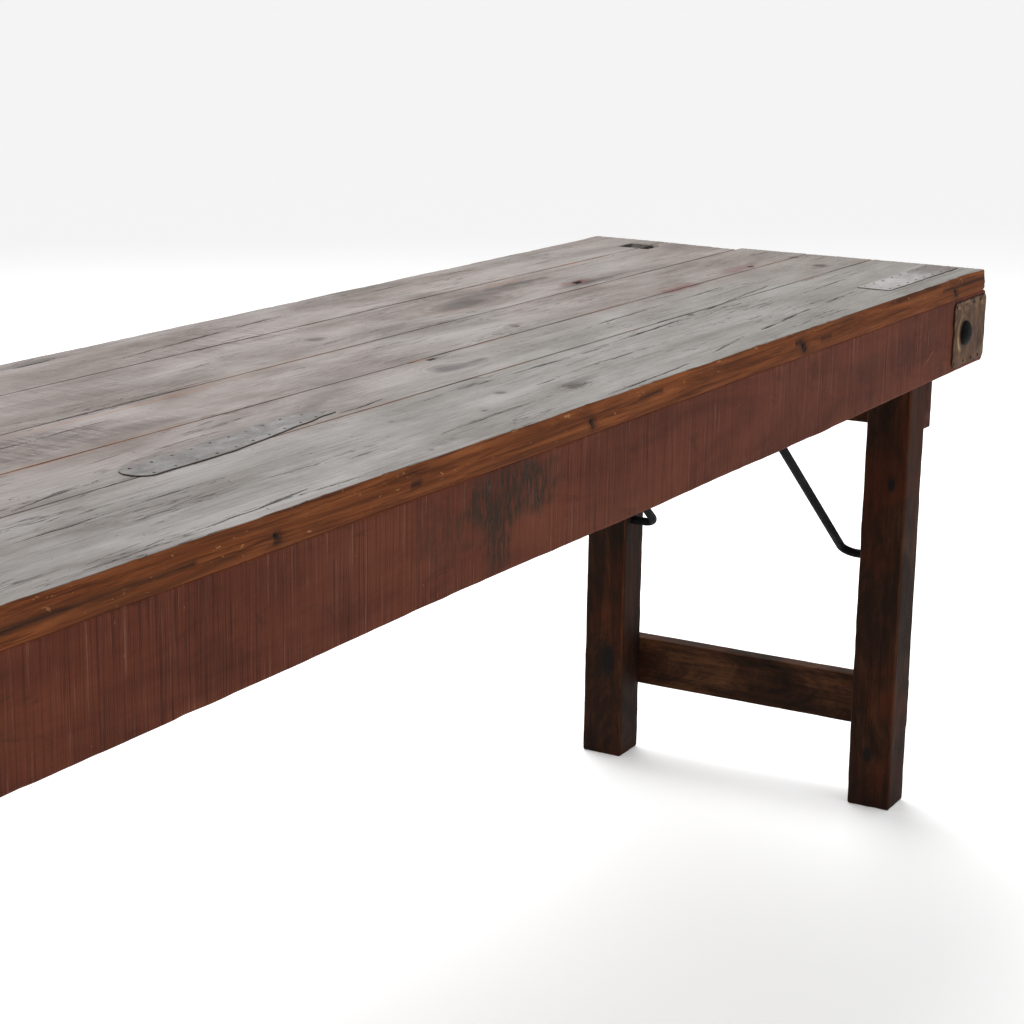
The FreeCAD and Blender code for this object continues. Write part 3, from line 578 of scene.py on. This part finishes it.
def wear_long_edge(points, dark, x, y, z, outer, on_outer, ends, number):
    """Leans, splits, nibbles and dents a plank's free long edge; gives dark back with the edge's marks."""
    lean = (6.0 + 1.2 * noise(x / 90, 0, number, 10)) * smooth(TOP_Z - 24, TOP_Z, z)
    lean = lean * (0.35 + 0.65 * smooth(0, 70, ends))
    inward = lean * smooth(HALF_WIDTH - 24, HALF_WIDTH, outer * y)
    face = np.abs(y - outer * HALF_WIDTH) < 0.5
    split = face & (np.abs(z - (TOP_Z - 13 + 5 * noise(x / 210, 0, number, 15))) < 0.8)
    split &= noise(x / 160, 3, number, 16) > 0.05
    inward += np.where(split, 1.1, 0)
    dark = np.maximum(dark, np.where(split, 0.85, 0))
    bite = smooth(0.35, 0.8, noise(x / 13, 1, number, 17)) * smooth(TOP_Z - 12, TOP_Z - 1, z)
    inward += np.where(on_outer, bite, 0)
    for nail_x in EDGE_NAIL_XS:
        away = np.hypot((x - nail_x) / 1.25, z - EDGE_NAIL_Z)
        stain = np.maximum(1 - smooth(4.0, 9.0, away), 0.5 * np.exp(-(away / 17) ** 2))
        dark = np.maximum(dark, np.where(face, stain, 0))
        inward += np.where(face, (1 - smooth(2.6, 5.5, away)) * 1.4, 0)
    points[:, 1] -= outer * inward * MM
    return dark


def make_plank(number):
    node = "top_plank_%d" % number
    low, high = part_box(node)
    corners = np.array([v.co for v in nodes[node].data.vertices])
    xs, ys = stops(low.x, high.x, 5.5 * MM), stops(low.y, high.y, 1.7 * MM, 7 * MM)
    zs = stops(low.z, high.z, 4 * MM, 7 * MM)
    points, quads = box_surface(xs, ys, zs)
    x, y, z = (points.T / MM).copy()
    outer = {1: -1, PLANK_COUNT: 1}.get(number, 0)
    on_outer = (y * outer > HALF_WIDTH - 8) if outer else np.zeros(len(x), bool)
    ends = np.minimum(high.x / MM - x, x - low.x / MM)
    points = rounded(points, low, high, plank_radius(x, y, z, on_outer, ends, number) * MM)
    slant_ends(points, y, z, low, high, corners, number)
    sink, marks = top_marks(x, y)
    top_face = z > TOP_Z - 0.5
    rough = 0.28 * fractal(x / 90, y / 3.2, number, 12) + 0.22 * noise(x / 30, y / 1.9, number, 13) - 0.35
    inset = smooth(0, 3, np.minimum(y - low.y / MM, high.y / MM - y))
    relief = (rough - sink) * (1 - under_tin(x, y)) * (0.3 + 0.7 * inset)
    points[:, 2] += np.where(top_face, relief, 0) * MM
    side = np.where(on_outer & ~top_face, 1.0, 0)
    side = np.where((ends < 1.0) & ~top_face, 0.9, side)
    dark = np.where(top_face, marks["dark"], 0.18 * (1 + noise(x / 50, z / 6, number, 14)))
    if outer:
        dark = wear_long_edge(points, dark, x, y, z, outer, on_outer, ends, number)
    marks.update(dark=dark, side=side, crack=np.where(top_face, marks["crack"], NO_CRACK),
                 knot=np.where(top_face, marks["knot"], NO_KNOT))
    mesh_object("plank_%d" % number, points, quads, TOP_WOOD, "table_top", node, marks)


# ---- other boards ----
def make_board(name, node, material, body, along, pitch, seed, radius, wear=1.0, warp=None):
    """A sawn board in place of a CAD box, with uneven worn arrises and slightly wavy faces."""
    low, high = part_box(node)
    size = high - low
    fine = {a: (pitch if a == along else pitch * 0.45) for a in "XYZ"}
    grid = [stops(low[i], high[i], fine[a], min(9 * MM, size[i] * 0.3)) for i, a in enumerate("XYZ")]
    points, quads = box_surface(*grid)
    x, y, z = (points.T / MM).copy()
    r = 1 + 0.45 * noise(x / 45, y / 45, z / 45, seed) + 0.35 * noise(x / 15, y / 15, z / 15, seed + 1)
    r *= radius
    before = points.copy()
    points = rounded(points, low, high, np.clip(r, 0.5, 12) * MM)
    moved = np.linalg.norm(points - before, axis=1) / MM
    rubbed = 0.55 + 0.45 * noise(x / 32, y / 32, z / 32, seed + 2)
    worn = np.clip(moved / (radius * 0.6), 0, 1) * wear * rubbed
    inward = np.array(low + high) / 2 - points
    inward /= np.linalg.norm(inward, axis=1, keepdims=True)
    stretch = [18 if a == along else 5 for a in "XYZ"]
    dip = 0.20 * (1 + noise(x / stretch[0], y / stretch[1], z / stretch[2], seed + 3))
    points += inward * dip[:, None] * MM
    values = {"dark": 0.25 * np.clip(noise(x / 60, y / 60, z / 60, seed + 4), 0, 1),
              "wear": np.clip(worn, 0, 1), "knot": np.full(len(x), NO_KNOT), "grime": np.zeros(len(x))}
    if warp:
        warp(points, values, x, y, z)
    mesh_object(name, points, quads, material, body, node, values)


def spot_distance(y, z, spots):
    """Distance from the nearest knot or hole in its own radii; a spot is y, z, half width, half height."""
    return np.min([np.hypot((y - cy) / width, (z - cz) / height) for cy, cz, width, height in spots], axis=0)


# How far the near apron's lower edge hangs below its nominal line: place along the table and drop.
APRON_SAG = [(-1150, 0), (-950, 2.7), (-540, 2.4), (-276, 0.5), (150, 3.1), (570, 3.1), (1000, 0), (1150, 0)]
APRON_CORNER_R = 8.0
# Grime on the aprons: x, z, half length, half height, strength.
GRIME = [(-155, 704, 110, 34, 1.0), (-175, 672, 30, 40, 0.9), (-265, 690, 60, 30, 0.5), (700, 690, 90, 18, 0.3)]
SCRATCH_X, SCRATCH_Z, SCRATCH_HALF, SCRATCH_SLOPE = 937, 668, 17, 0.45
# Knots and holes on the legs' inner faces, far then near, and on the stretchers: y, z, half width, half height.
LEG_KNOTS = {1: [(204, 147, 11, 26)], -1: [(-222, 470, 6, 10), (-208, 78, 7, 12)]}
STRETCHER_HOLES = [(-3, 123, 4.4, 4.0), (-36, 125, 4.4, 4.0)]


def apron_warp(side, seed):
    """Cuts saw kerfs in an apron's outer face, lets the near one's lower edge hang and rounds the ends."""
    def warp(points, values, x, y, z):
        face = np.abs(y - side * HALF_WIDTH) < 0.6
        kerf = noise(x / 3.4, z / 95, seed, 71) + 0.6 * noise(x / 1.7, z / 70, seed, 72)
        points[:, 1] -= side * np.where(face, 0.28 * (1 + kerf / 1.6), 0) * MM
        if side < 0:
            drop = np.interp(x, *zip(*APRON_SAG))
            points[:, 2] -= drop * np.clip((APRON_BOTTOM_Z + 65 - z) / 65, 0, 1) * MM
        for end in (1, -1):
            for corner_z, sign in ((UNDERSIDE_Z, 1), (APRON_BOTTOM_Z, -1)):
                centre_x, centre_z = APRON_END_X - APRON_CORNER_R, corner_z - sign * APRON_CORNER_R
                dx, dz = end * x - centre_x, (z - centre_z) * sign
                hit = (dx > 0) & (dz > 0)
                far = np.maximum(np.hypot(dx, dz), 1e-6)
                pull = np.where(hit & (far > APRON_CORNER_R), APRON_CORNER_R / far, 1.0)
                points[:, 0] = np.where(hit, end * (centre_x + dx * pull) * MM, points[:, 0])
                points[:, 2] = np.where(hit, (centre_z + dz * pull * sign) * MM, points[:, 2])
        along = x - SCRATCH_X
        scratch = (np.abs(z - SCRATCH_Z - SCRATCH_SLOPE * along) < 1.6) & (np.abs(along) < SCRATCH_HALF)
        values["grime"] = np.where(face, strongest(x, z, GRIME) * (1.0 if side < 0 else 0.6), 0)
        values["wear"] = np.maximum(values["wear"], np.where(face & scratch & (side < 0), 1.0, 0))
    return warp


def leg_warp(end, side, seed):
    """Rounds the leg's head about the pivot and wears its foot; darkens the post towards its foot, and paints
    shade on the near posts and on the faces that look in under the table.
    """
    def warp(points, values, x, y, z):
        above = np.clip((points[:, 2] - PIVOT_Z * MM) / (LEG_HALF * MM), 0, 1)
        angle = above * math.pi / 2
        pivot_x = end * PIVOT_X * MM
        points[:, 0] = pivot_x + (points[:, 0] - pivot_x) * np.maximum(np.cos(angle), 0.03)
        head = (PIVOT_Z + LEG_HALF * np.sin(angle)) * MM
        points[:, 2] = np.where(above > 0, head, points[:, 2])
        foot = 1 - smooth(0, 150, z)
        uneven = 1.6 * foot * (0.6 + 0.6 * noise(x / 30, y / 30, z / 22, seed + 20))
        inner = smooth(0, 26, PIVOT_X - end * x)
        points[:, 0] += end * uneven * inner * (2.4 if side < 0 else 1.2) * MM
        # Darker towards the foot.
        darker_at_foot = 1 - smooth(0, 60, z + 20 * noise(x / 20, y / 20, 0, seed + 21))
        # Painted shade: the near posts are darker all over than the far ones.
        dark = np.maximum(values["dark"], (0.16 if side < 0 else 0.0) + 0.45 * darker_at_foot)
        # Painted shade on the faces that look in under the table.
        facing_in = np.abs(np.abs(y) - LEG_INNER_Y) < 0.6
        values["dark"] = np.maximum(dark, np.where(facing_in, 0.3, 0))
        inner_face = np.abs(end * x - (PIVOT_X - LEG_HALF)) < 0.6
        values["knot"] = np.where(inner_face, spot_distance(y, z, LEG_KNOTS[side]), NO_KNOT)
    return warp


def stretcher_warp(end):
    def warp(points, values, x, y, z):
        face = end * x < np.min(end * x) + 0.6
        values["knot"] = np.where(face, spot_distance(y, z, STRETCHER_HOLES), NO_KNOT)
    return warp


# ---- sheet metal ----
SHEET_LIFT = 0.05 * MM       # back of a sheet above what it lies on


def make_sheet(name, node, material, normal_axis, outward, outline, lift, seed, pale, dirt_and_shade, pitch):
    """A thin crumpled sheet in place of a flat CAD one; outline moves a flat grid's points to its shape."""
    low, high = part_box(node)
    a, b = [i for i in range(3) if i != normal_axis]
    us = np.linspace(low[a], high[a], max(8, int((high[a] - low[a]) / pitch)))
    vs = np.linspace(low[b], high[b], max(8, int((high[b] - low[b]) / pitch)))
    grid_u, grid_v = np.meshgrid(us, vs, indexing="ij")
    back = low[normal_axis] if outward > 0 else high[normal_axis]
    u, v = outline(grid_u * 1000, grid_v * 1000, low, high, a, b)
    thick = (high - low)[normal_axis]
    bump = lift * (0.5 + 0.5 * fractal(u / 22, v / 14, 0, seed)) * MM
    layers = []
    for height in (thick + bump, np.full(bump.shape, SHEET_LIFT)):
        points = np.zeros((*u.shape, 3))
        points[..., a], points[..., b] = u * MM, v * MM
        points[..., normal_axis] = back + outward * height
        layers.append(points.reshape(-1, 3))
    nu, nv = u.shape
    ids = np.arange(nu * nv).reshape(nu, nv)
    front = np.stack([ids[:-1, :-1], ids[1:, :-1], ids[1:, 1:], ids[:-1, 1:]], -1).reshape(-1, 4)
    rear = front[:, ::-1] + nu * nv
    loop = np.concatenate([ids[:, 0], ids[-1, 1:], ids[::-1, -1][1:], ids[0, ::-1][1:-1]])
    nxt = np.roll(loop, -1)
    rim = np.stack([loop + nu * nv, nxt + nu * nv, nxt, loop], -1)
    quads = np.concatenate([front, rear, rim])
    flip = (normal_axis == 1) != (outward < 0)
    quads = quads[:, ::-1] if flip else quads
    rim_u = np.minimum(grid_u - us[0], us[-1] - grid_u)
    edge = np.minimum(rim_u, np.minimum(grid_v - vs[0], vs[-1] - grid_v)) / MM
    dark = np.clip(np.exp(-(edge / 2.5) ** 2) * 0.75 + 0.15 * noise(u / 9, v / 9, 0, seed + 4), 0, 1)
    # Darker at the rim; the plate sheets also get painted shade round the bolt head, the corner zinc dirt
    # towards the table's end.
    dark = np.maximum(dark, dirt_and_shade(u, v, low, high, a, b))
    values = {"dark": np.tile(dark.reshape(-1), 2),
              "pale": np.tile(pale(u, v, low, high, a, b).reshape(-1), 2)}
    mesh_object(name, np.concatenate(layers), quads, material, "table_top", node, values)


def ragged(seed, amount, radius, torn_side=0):
    """Outline with rounded corners and a rim drawn in unevenly; torn_side limits that to one end in u."""
    def outline(u, v, low, high, a, b):
        u0, u1, v0, v1 = low[a] * 1000, high[a] * 1000, low[b] * 1000, high[b] * 1000
        mid_u, mid_v, half_u, half_v = (u0 + u1) / 2, (v0 + v1) / 2, (u1 - u0) / 2, (v1 - v0) / 2
        p, q = (u - mid_u) / half_u, (v - mid_v) / half_v
        inner_u, inner_v = half_u - radius, half_v - radius
        du = np.maximum(np.abs(u - mid_u) - inner_u, 0)
        dv = np.maximum(np.abs(v - mid_v) - inner_v, 0)
        far = np.maximum(np.hypot(du, dv), 1e-6)
        k = np.where((du > 0) & (dv > 0), np.maximum(du, dv) / far, 1.0)
        u = mid_u + np.sign(u - mid_u) * (np.minimum(np.abs(u - mid_u), inner_u) + du * k)
        v = mid_v + np.sign(v - mid_v) * (np.minimum(np.abs(v - mid_v), inner_v) + dv * k)
        rim = smooth(0.75, 1.0, np.maximum(np.abs(p), np.abs(q)))
        uneven = 0.5 + 0.5 * noise(u / 13, v / 13, 0, seed) + 0.25 * noise(u / 5, v / 5, 0, seed + 1)
        draw = rim * amount * uneven
        torn = smooth(0, 0.5, -p * torn_side) if torn_side else 1.0
        u = u - np.sign(p) * draw * smooth(0.8, 1, np.abs(p)) * torn
        v = v - np.sign(q) * draw * smooth(0.8, 1, np.abs(q)) * (0.25 if torn_side else 1.0)
        return u, v
    return outline


def slanted(u, v, low, high, a, b):
    """Outline of the long patch: round at one end, tapering to a point at the other, not quite straight."""
    t = (u - low[a] * 1000) / ((high[a] - low[a]) * 1000)
    s = (v - low[b] * 1000) / ((high[b] - low[b]) * 1000)
    near = -143 + 17 * smooth(0.3, 0.9, t) + 0.9 * noise(u / 16, 0, 0, 425)
    far = -107 + 13 * smooth(0.1, 0.9, t) + 1.2 * noise(u / 14, 1, 0, 426)
    near, far = np.clip(near, low[b] * 1000 + 0.3, None), np.clip(far, None, high[b] * 1000 - 0.3)
    taper = 0.08 + 0.92 * smooth(1.0, 0.84, t)
    blunt = np.sqrt(np.clip(1 - (1 - np.clip(t / 0.05, 0, 1)) ** 2, 0.06, 1))
    middle, half = (near + far) / 2 - 9 * smooth(0.86, 1.0, t), (far - near) / 2
    return u, middle + (s * 2 - 1) * half * taper * blunt


def nowhere(u, v, low, high, a, b):
    return np.zeros(u.shape)


def corner_pale(u, v, low, high, a, b):
    """The corner patch is bright at its inner end and dirty towards the table's end."""
    return 1 - 0.75 * smooth(0.4, 0.95, (u / 1000 - low[a]) / (high[a] - low[a]))


def corner_dirt(u, v, low, high, a, b):
    share = (u / 1000 - low[a]) / (high[a] - low[a])
    return 0.85 * smooth(0.45, 1.0, share + 0.12 * noise(u / 12, v / 7, 0, 436))


def torn_crescent(u, v, low, high, a, b):
    """Bare bright metal where the sheet is bent up beside the bolt, and pale spots near its upper rim that are
    rubbed nicks with a painted highlight.
    """
    end = 1 if low[a] > 0 else -1
    r = np.hypot(u - end * PIVOT_X, v - PIVOT_Z)
    toward = -end * (u - end * PIVOT_X) / np.maximum(r, 1)
    crescent = np.exp(-((r - 26) / 3.2) ** 2) * smooth(0.3, 0.8, toward)
    # Pale spots along the upper rim: rubbed nicks with a painted highlight.
    upper = smooth(high[b] * 1000 - 16, high[b] * 1000 - 5, v) * smooth(0.1, 0.5, noise(u / 7, v / 6, 0, 440))
    return np.clip(0.85 * crescent + 0.5 * upper, 0, 1)


def plate_shade(u, v, low, high, a, b):
    end = 1 if low[a] > 0 else -1
    r = np.hypot(u - end * PIVOT_X, v - PIVOT_Z)
    stains = 0.45 * smooth(0.0, 0.7, noise(u / 11, v / 14, 0, 441))
    # Painted shade in a ring round the bolt head, with stains.
    return np.clip(0.55 * np.exp(-((r - 16) / 6) ** 2) + stains, 0, 1)


# ---- bolts and patch nails ----
def turned(profile, centre, axis, sides):
    """Points and faces of (radius, height) pairs turned about an axis; first and last radius are 0."""
    axis = Vector(axis)
    side_a = axis.orthogonal().normalized()
    side_b = axis.cross(side_a)
    points, faces = [Vector(centre) + axis * profile[0][1]], []
    for radius, height in profile[1:-1]:
        for k in range(sides):
            a = 2 * math.pi * k / sides
            out = side_a * math.cos(a) + side_b * math.sin(a)
            points.append(Vector(centre) + axis * height + out * radius)
    points.append(Vector(centre) + axis * profile[-1][1])
    rings = len(profile) - 2
    for k in range(sides):
        after = (k + 1) % sides
        faces.append((0, 1 + after, 1 + k))
        for r in range(rings - 1):
            a, b = 1 + r * sides, 1 + (r + 1) * sides
            faces.append((a + k, a + after, b + after, b + k))
        last = 1 + (rings - 1) * sides
        faces.append((last + k, last + after, len(points) - 1))
    return [tuple(p) for p in points], faces


def metal_object(name, shapes, node, material):
    """One iron piece that rides on the top, from separate (points, faces) shapes."""
    points, faces = [], []
    for shape_points, shape_faces in shapes:
        faces += [tuple(i + len(points) for i in f) for f in shape_faces]
        points += shape_points
    mesh = bpy.data.meshes.new(name)
    mesh.from_pydata(points, [], faces)
    add_piece(name, mesh, material, "table_top", node)


DOME_R, DOME_H = 16.4, 7.2   # bolt head


def make_bolt(tag, end, side):
    """Hammered dome head with a flat rim on a plain shank."""
    node = "pivot_bolt_" + tag
    low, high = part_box(node)
    head_tip, shank_tip = (high.y, low.y) if side > 0 else (low.y, high.y)
    centre = (end * PIVOT_X * MM, head_tip, PIVOT_Z * MM)
    shank = -abs(head_tip - shank_tip) / MM
    profile = [(0, shank), (5.0, shank), (6.0, shank + 1.2), (6.0, -9.3),
               (16.0, -9.3), (16.5, -8.6), (16.5, -7.6)]
    for degrees in range(90, 11, -13):
        a = math.radians(degrees)
        profile.append((DOME_R * math.sin(a), DOME_H * (math.cos(a) - 1)))
    profile.append((0, 0))
    points, faces = turned([(r * MM, h * MM) for r, h in profile], centre, (0, side, 0), 40)
    lumpy = []
    for x, y, z in points:
        k = 1 + 0.018 * float(noise(x * 240, y * 240, z * 240, 500 + end + side))
        lumpy.append((centre[0] + (x - centre[0]) * k, y, centre[2] + (z - centre[2]) * k))
    metal_object("bolt_" + tag, [(lumpy, faces)], node, IRON)


CORNER_OUTLINE = ragged(430, 2.0, 6.0)
# A tack's radius and height, from its point to its crown.
TACK = [(0, -6.0), (0.9, -6.0), (0.9, 0.0), (1.6, 0.0), (1.4, 0.4), (0.8, 0.7), (0, 0.8)]


def make_patch_nails():
    """Small domed tacks along both patches' long sides, just inside the sheet's rim."""
    profile = [(r * MM, h * MM) for r, h in TACK]
    shapes = []
    for node, count, outline in (("tin_patch_middle", 10, slanted), ("tin_patch_corner", 8, CORNER_OUTLINE)):
        low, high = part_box(node)
        u = (low.x + (high.x - low.x) * np.linspace(0.06, 0.90, count)) / MM
        for share in (0.15, 0.85):
            v = np.full(count, (low.y + (high.y - low.y) * share) / MM)
            for x, y in zip(*outline(u, v, low, high, 0, 1)):
                shapes.append(turned(profile, (x * MM, y * MM, high.z + 0.1 * MM), (0, 0, 1), 10))
    metal_object("patch_tacks", shapes, "patch_nails", TACK_IRON)


# ---- build everything ----
for number in range(1, PLANK_COUNT + 1):
    make_plank(number)
for side_name, side in (("near", -1), ("far", 1)):
    make_board("side_" + side_name, "apron_" + side_name, APRON_X, "table_top", "X", 0.006,
               100 + side, 2.2, 0.8, apron_warp(side, 7 + side))
for number in range(1, 5):
    make_board("cross_batten_%d" % number, "batten_%d" % number, APRON_Y, "table_top", "Y",
               0.012, 200 + number, 1.4)
for end_name, end in (("right", 1), ("left", -1)):
    body = "leg_frame_" + end_name
    make_board("end_board_" + end_name, "end_rail_" + end_name, APRON_Y, "table_top", "Y",
               0.010, 300 + end, 1.8)
    make_board("catch_wood_" + end_name, "catch_block_" + end_name, APRON_Y, "table_top", "Y",
               0.008, 310 + end, 1.2)
    make_board("brace_upper_" + end_name, "upper_rail_" + end_name, FRAME_Y, body, "Y", 0.007,
               320 + end, 2.0)
    make_board("brace_lower_" + end_name, "stretcher_" + end_name, FRAME_Y, body, "Y", 0.005,
               330 + end, 2.4, 1.0, stretcher_warp(end))
    for side_name, side in (("near", -1), ("far", 1)):
        tag = end_name + "_" + side_name
        make_board("post_" + tag, "leg_" + tag, FRAME_Z, body, "Z", 0.007,
                   340 + 2 * end + side, 3.2, 0.9, leg_warp(end, side, 350 + 2 * end + side))
        make_sheet("sheet_" + tag, "corner_plate_" + tag, PLATE, 1, side,
                   ragged(400 + 2 * end + side, 5.0, 8.0, end), 0.8, 410 + 2 * end + side, torn_crescent,
                   plate_shade, 0.0015)
        make_bolt(tag, end, side)
make_sheet("zinc_middle", "tin_patch_middle", TIN, 2, 1, slanted, 0.5, 421, nowhere, nowhere, 0.002)
make_sheet("zinc_corner", "tin_patch_corner", TIN, 2, 1, CORNER_OUTLINE, 0.4, 431, corner_pale,
           corner_dirt, 0.002)
make_patch_nails()

# The CAD nodes that no piece replaces are iron too.
for node in nodes.values():
    if not node.hide_render:
        node.data.materials.clear()
        node.data.materials.append(IRON)

# ---- floor, light and camera ----
FLOOR_HALF = 60.0            # metres
finish = Nodes("floor")
finish.shader.inputs["Base Color"].default_value = (0.95, 0.95, 0.95, 1)
finish.shader.inputs["Roughness"].default_value = 0.95
finish.shader.inputs["Emission Color"].default_value = (1, 1, 1, 1)
finish.shader.inputs["Emission Strength"].default_value = 0.2
floor_mesh = bpy.data.meshes.new("floor")
floor_corners = [(u * FLOOR_HALF, v * FLOOR_HALF, 0) for u, v in ((-1, -1), (1, -1), (1, 1), (-1, 1))]
floor_mesh.from_pydata(floor_corners, [], [(0, 1, 2, 3)])
floor_mesh.materials.append(finish.material)
floor = bpy.data.objects.new("floor", floor_mesh)
bpy.context.scene.collection.objects.link(floor)

world = bpy.data.worlds.new("world")
bpy.context.scene.world = world
world.use_nodes = True
background = world.node_tree.nodes["Background"]
background.inputs["Color"].default_value = (1, 1, 1, 1)
background.inputs["Strength"].default_value = 0.74


def area_light(name, place, target, size, watts):
    data = bpy.data.lights.new(name, "AREA")
    data.shape, data.size, data.energy = "DISK", size, watts
    light = bpy.data.objects.new(name, data)
    bpy.context.scene.collection.objects.link(light)
    light.location = place
    light.rotation_euler = (Vector(target) - Vector(place)).to_track_quat("-Z", "Y").to_euler()


area_light("key", (2.6, 2.0, 3.6), (0.6, 0, 0.7), 3.6, 170)
area_light("front", (-0.2, -4.6, 3.0), (0.3, 0, 0.5), 3.0, 30)


# Camera from the photograph's fitted view: place in metres, turns in degrees, lens and sensor in millimetres.
CAMERA_PLACE = (-1.92097, -1.29804, 1.18667)
CAMERA_LENS, CAMERA_SENSOR = 82.1, 36.0
YAW, PITCH, ROLL = (math.radians(a) for a in (29.4491, -13.82036, 0.967355))
ahead = Vector((math.cos(PITCH) * math.cos(YAW), math.cos(PITCH) * math.sin(YAW), math.sin(PITCH)))
right = Vector((math.sin(YAW), -math.cos(YAW), 0))
up = right.cross(ahead)
right, up = (math.cos(ROLL) * right + math.sin(ROLL) * up, -math.sin(ROLL) * right + math.cos(ROLL) * up)
camera_data = bpy.data.cameras.new("camera")
camera_data.sensor_width = CAMERA_SENSOR
camera_data.lens = CAMERA_LENS
camera = bpy.data.objects.new("camera", camera_data)
bpy.context.scene.collection.objects.link(camera)
turn = Matrix((right, up, -ahead)).transposed().to_4x4()
camera.matrix_world = Matrix.Translation(CAMERA_PLACE) @ turn
bpy.context.scene.camera = camera
bpy.context.scene.view_settings.view_transform = "Standard"

bpy.context.view_layer.update()
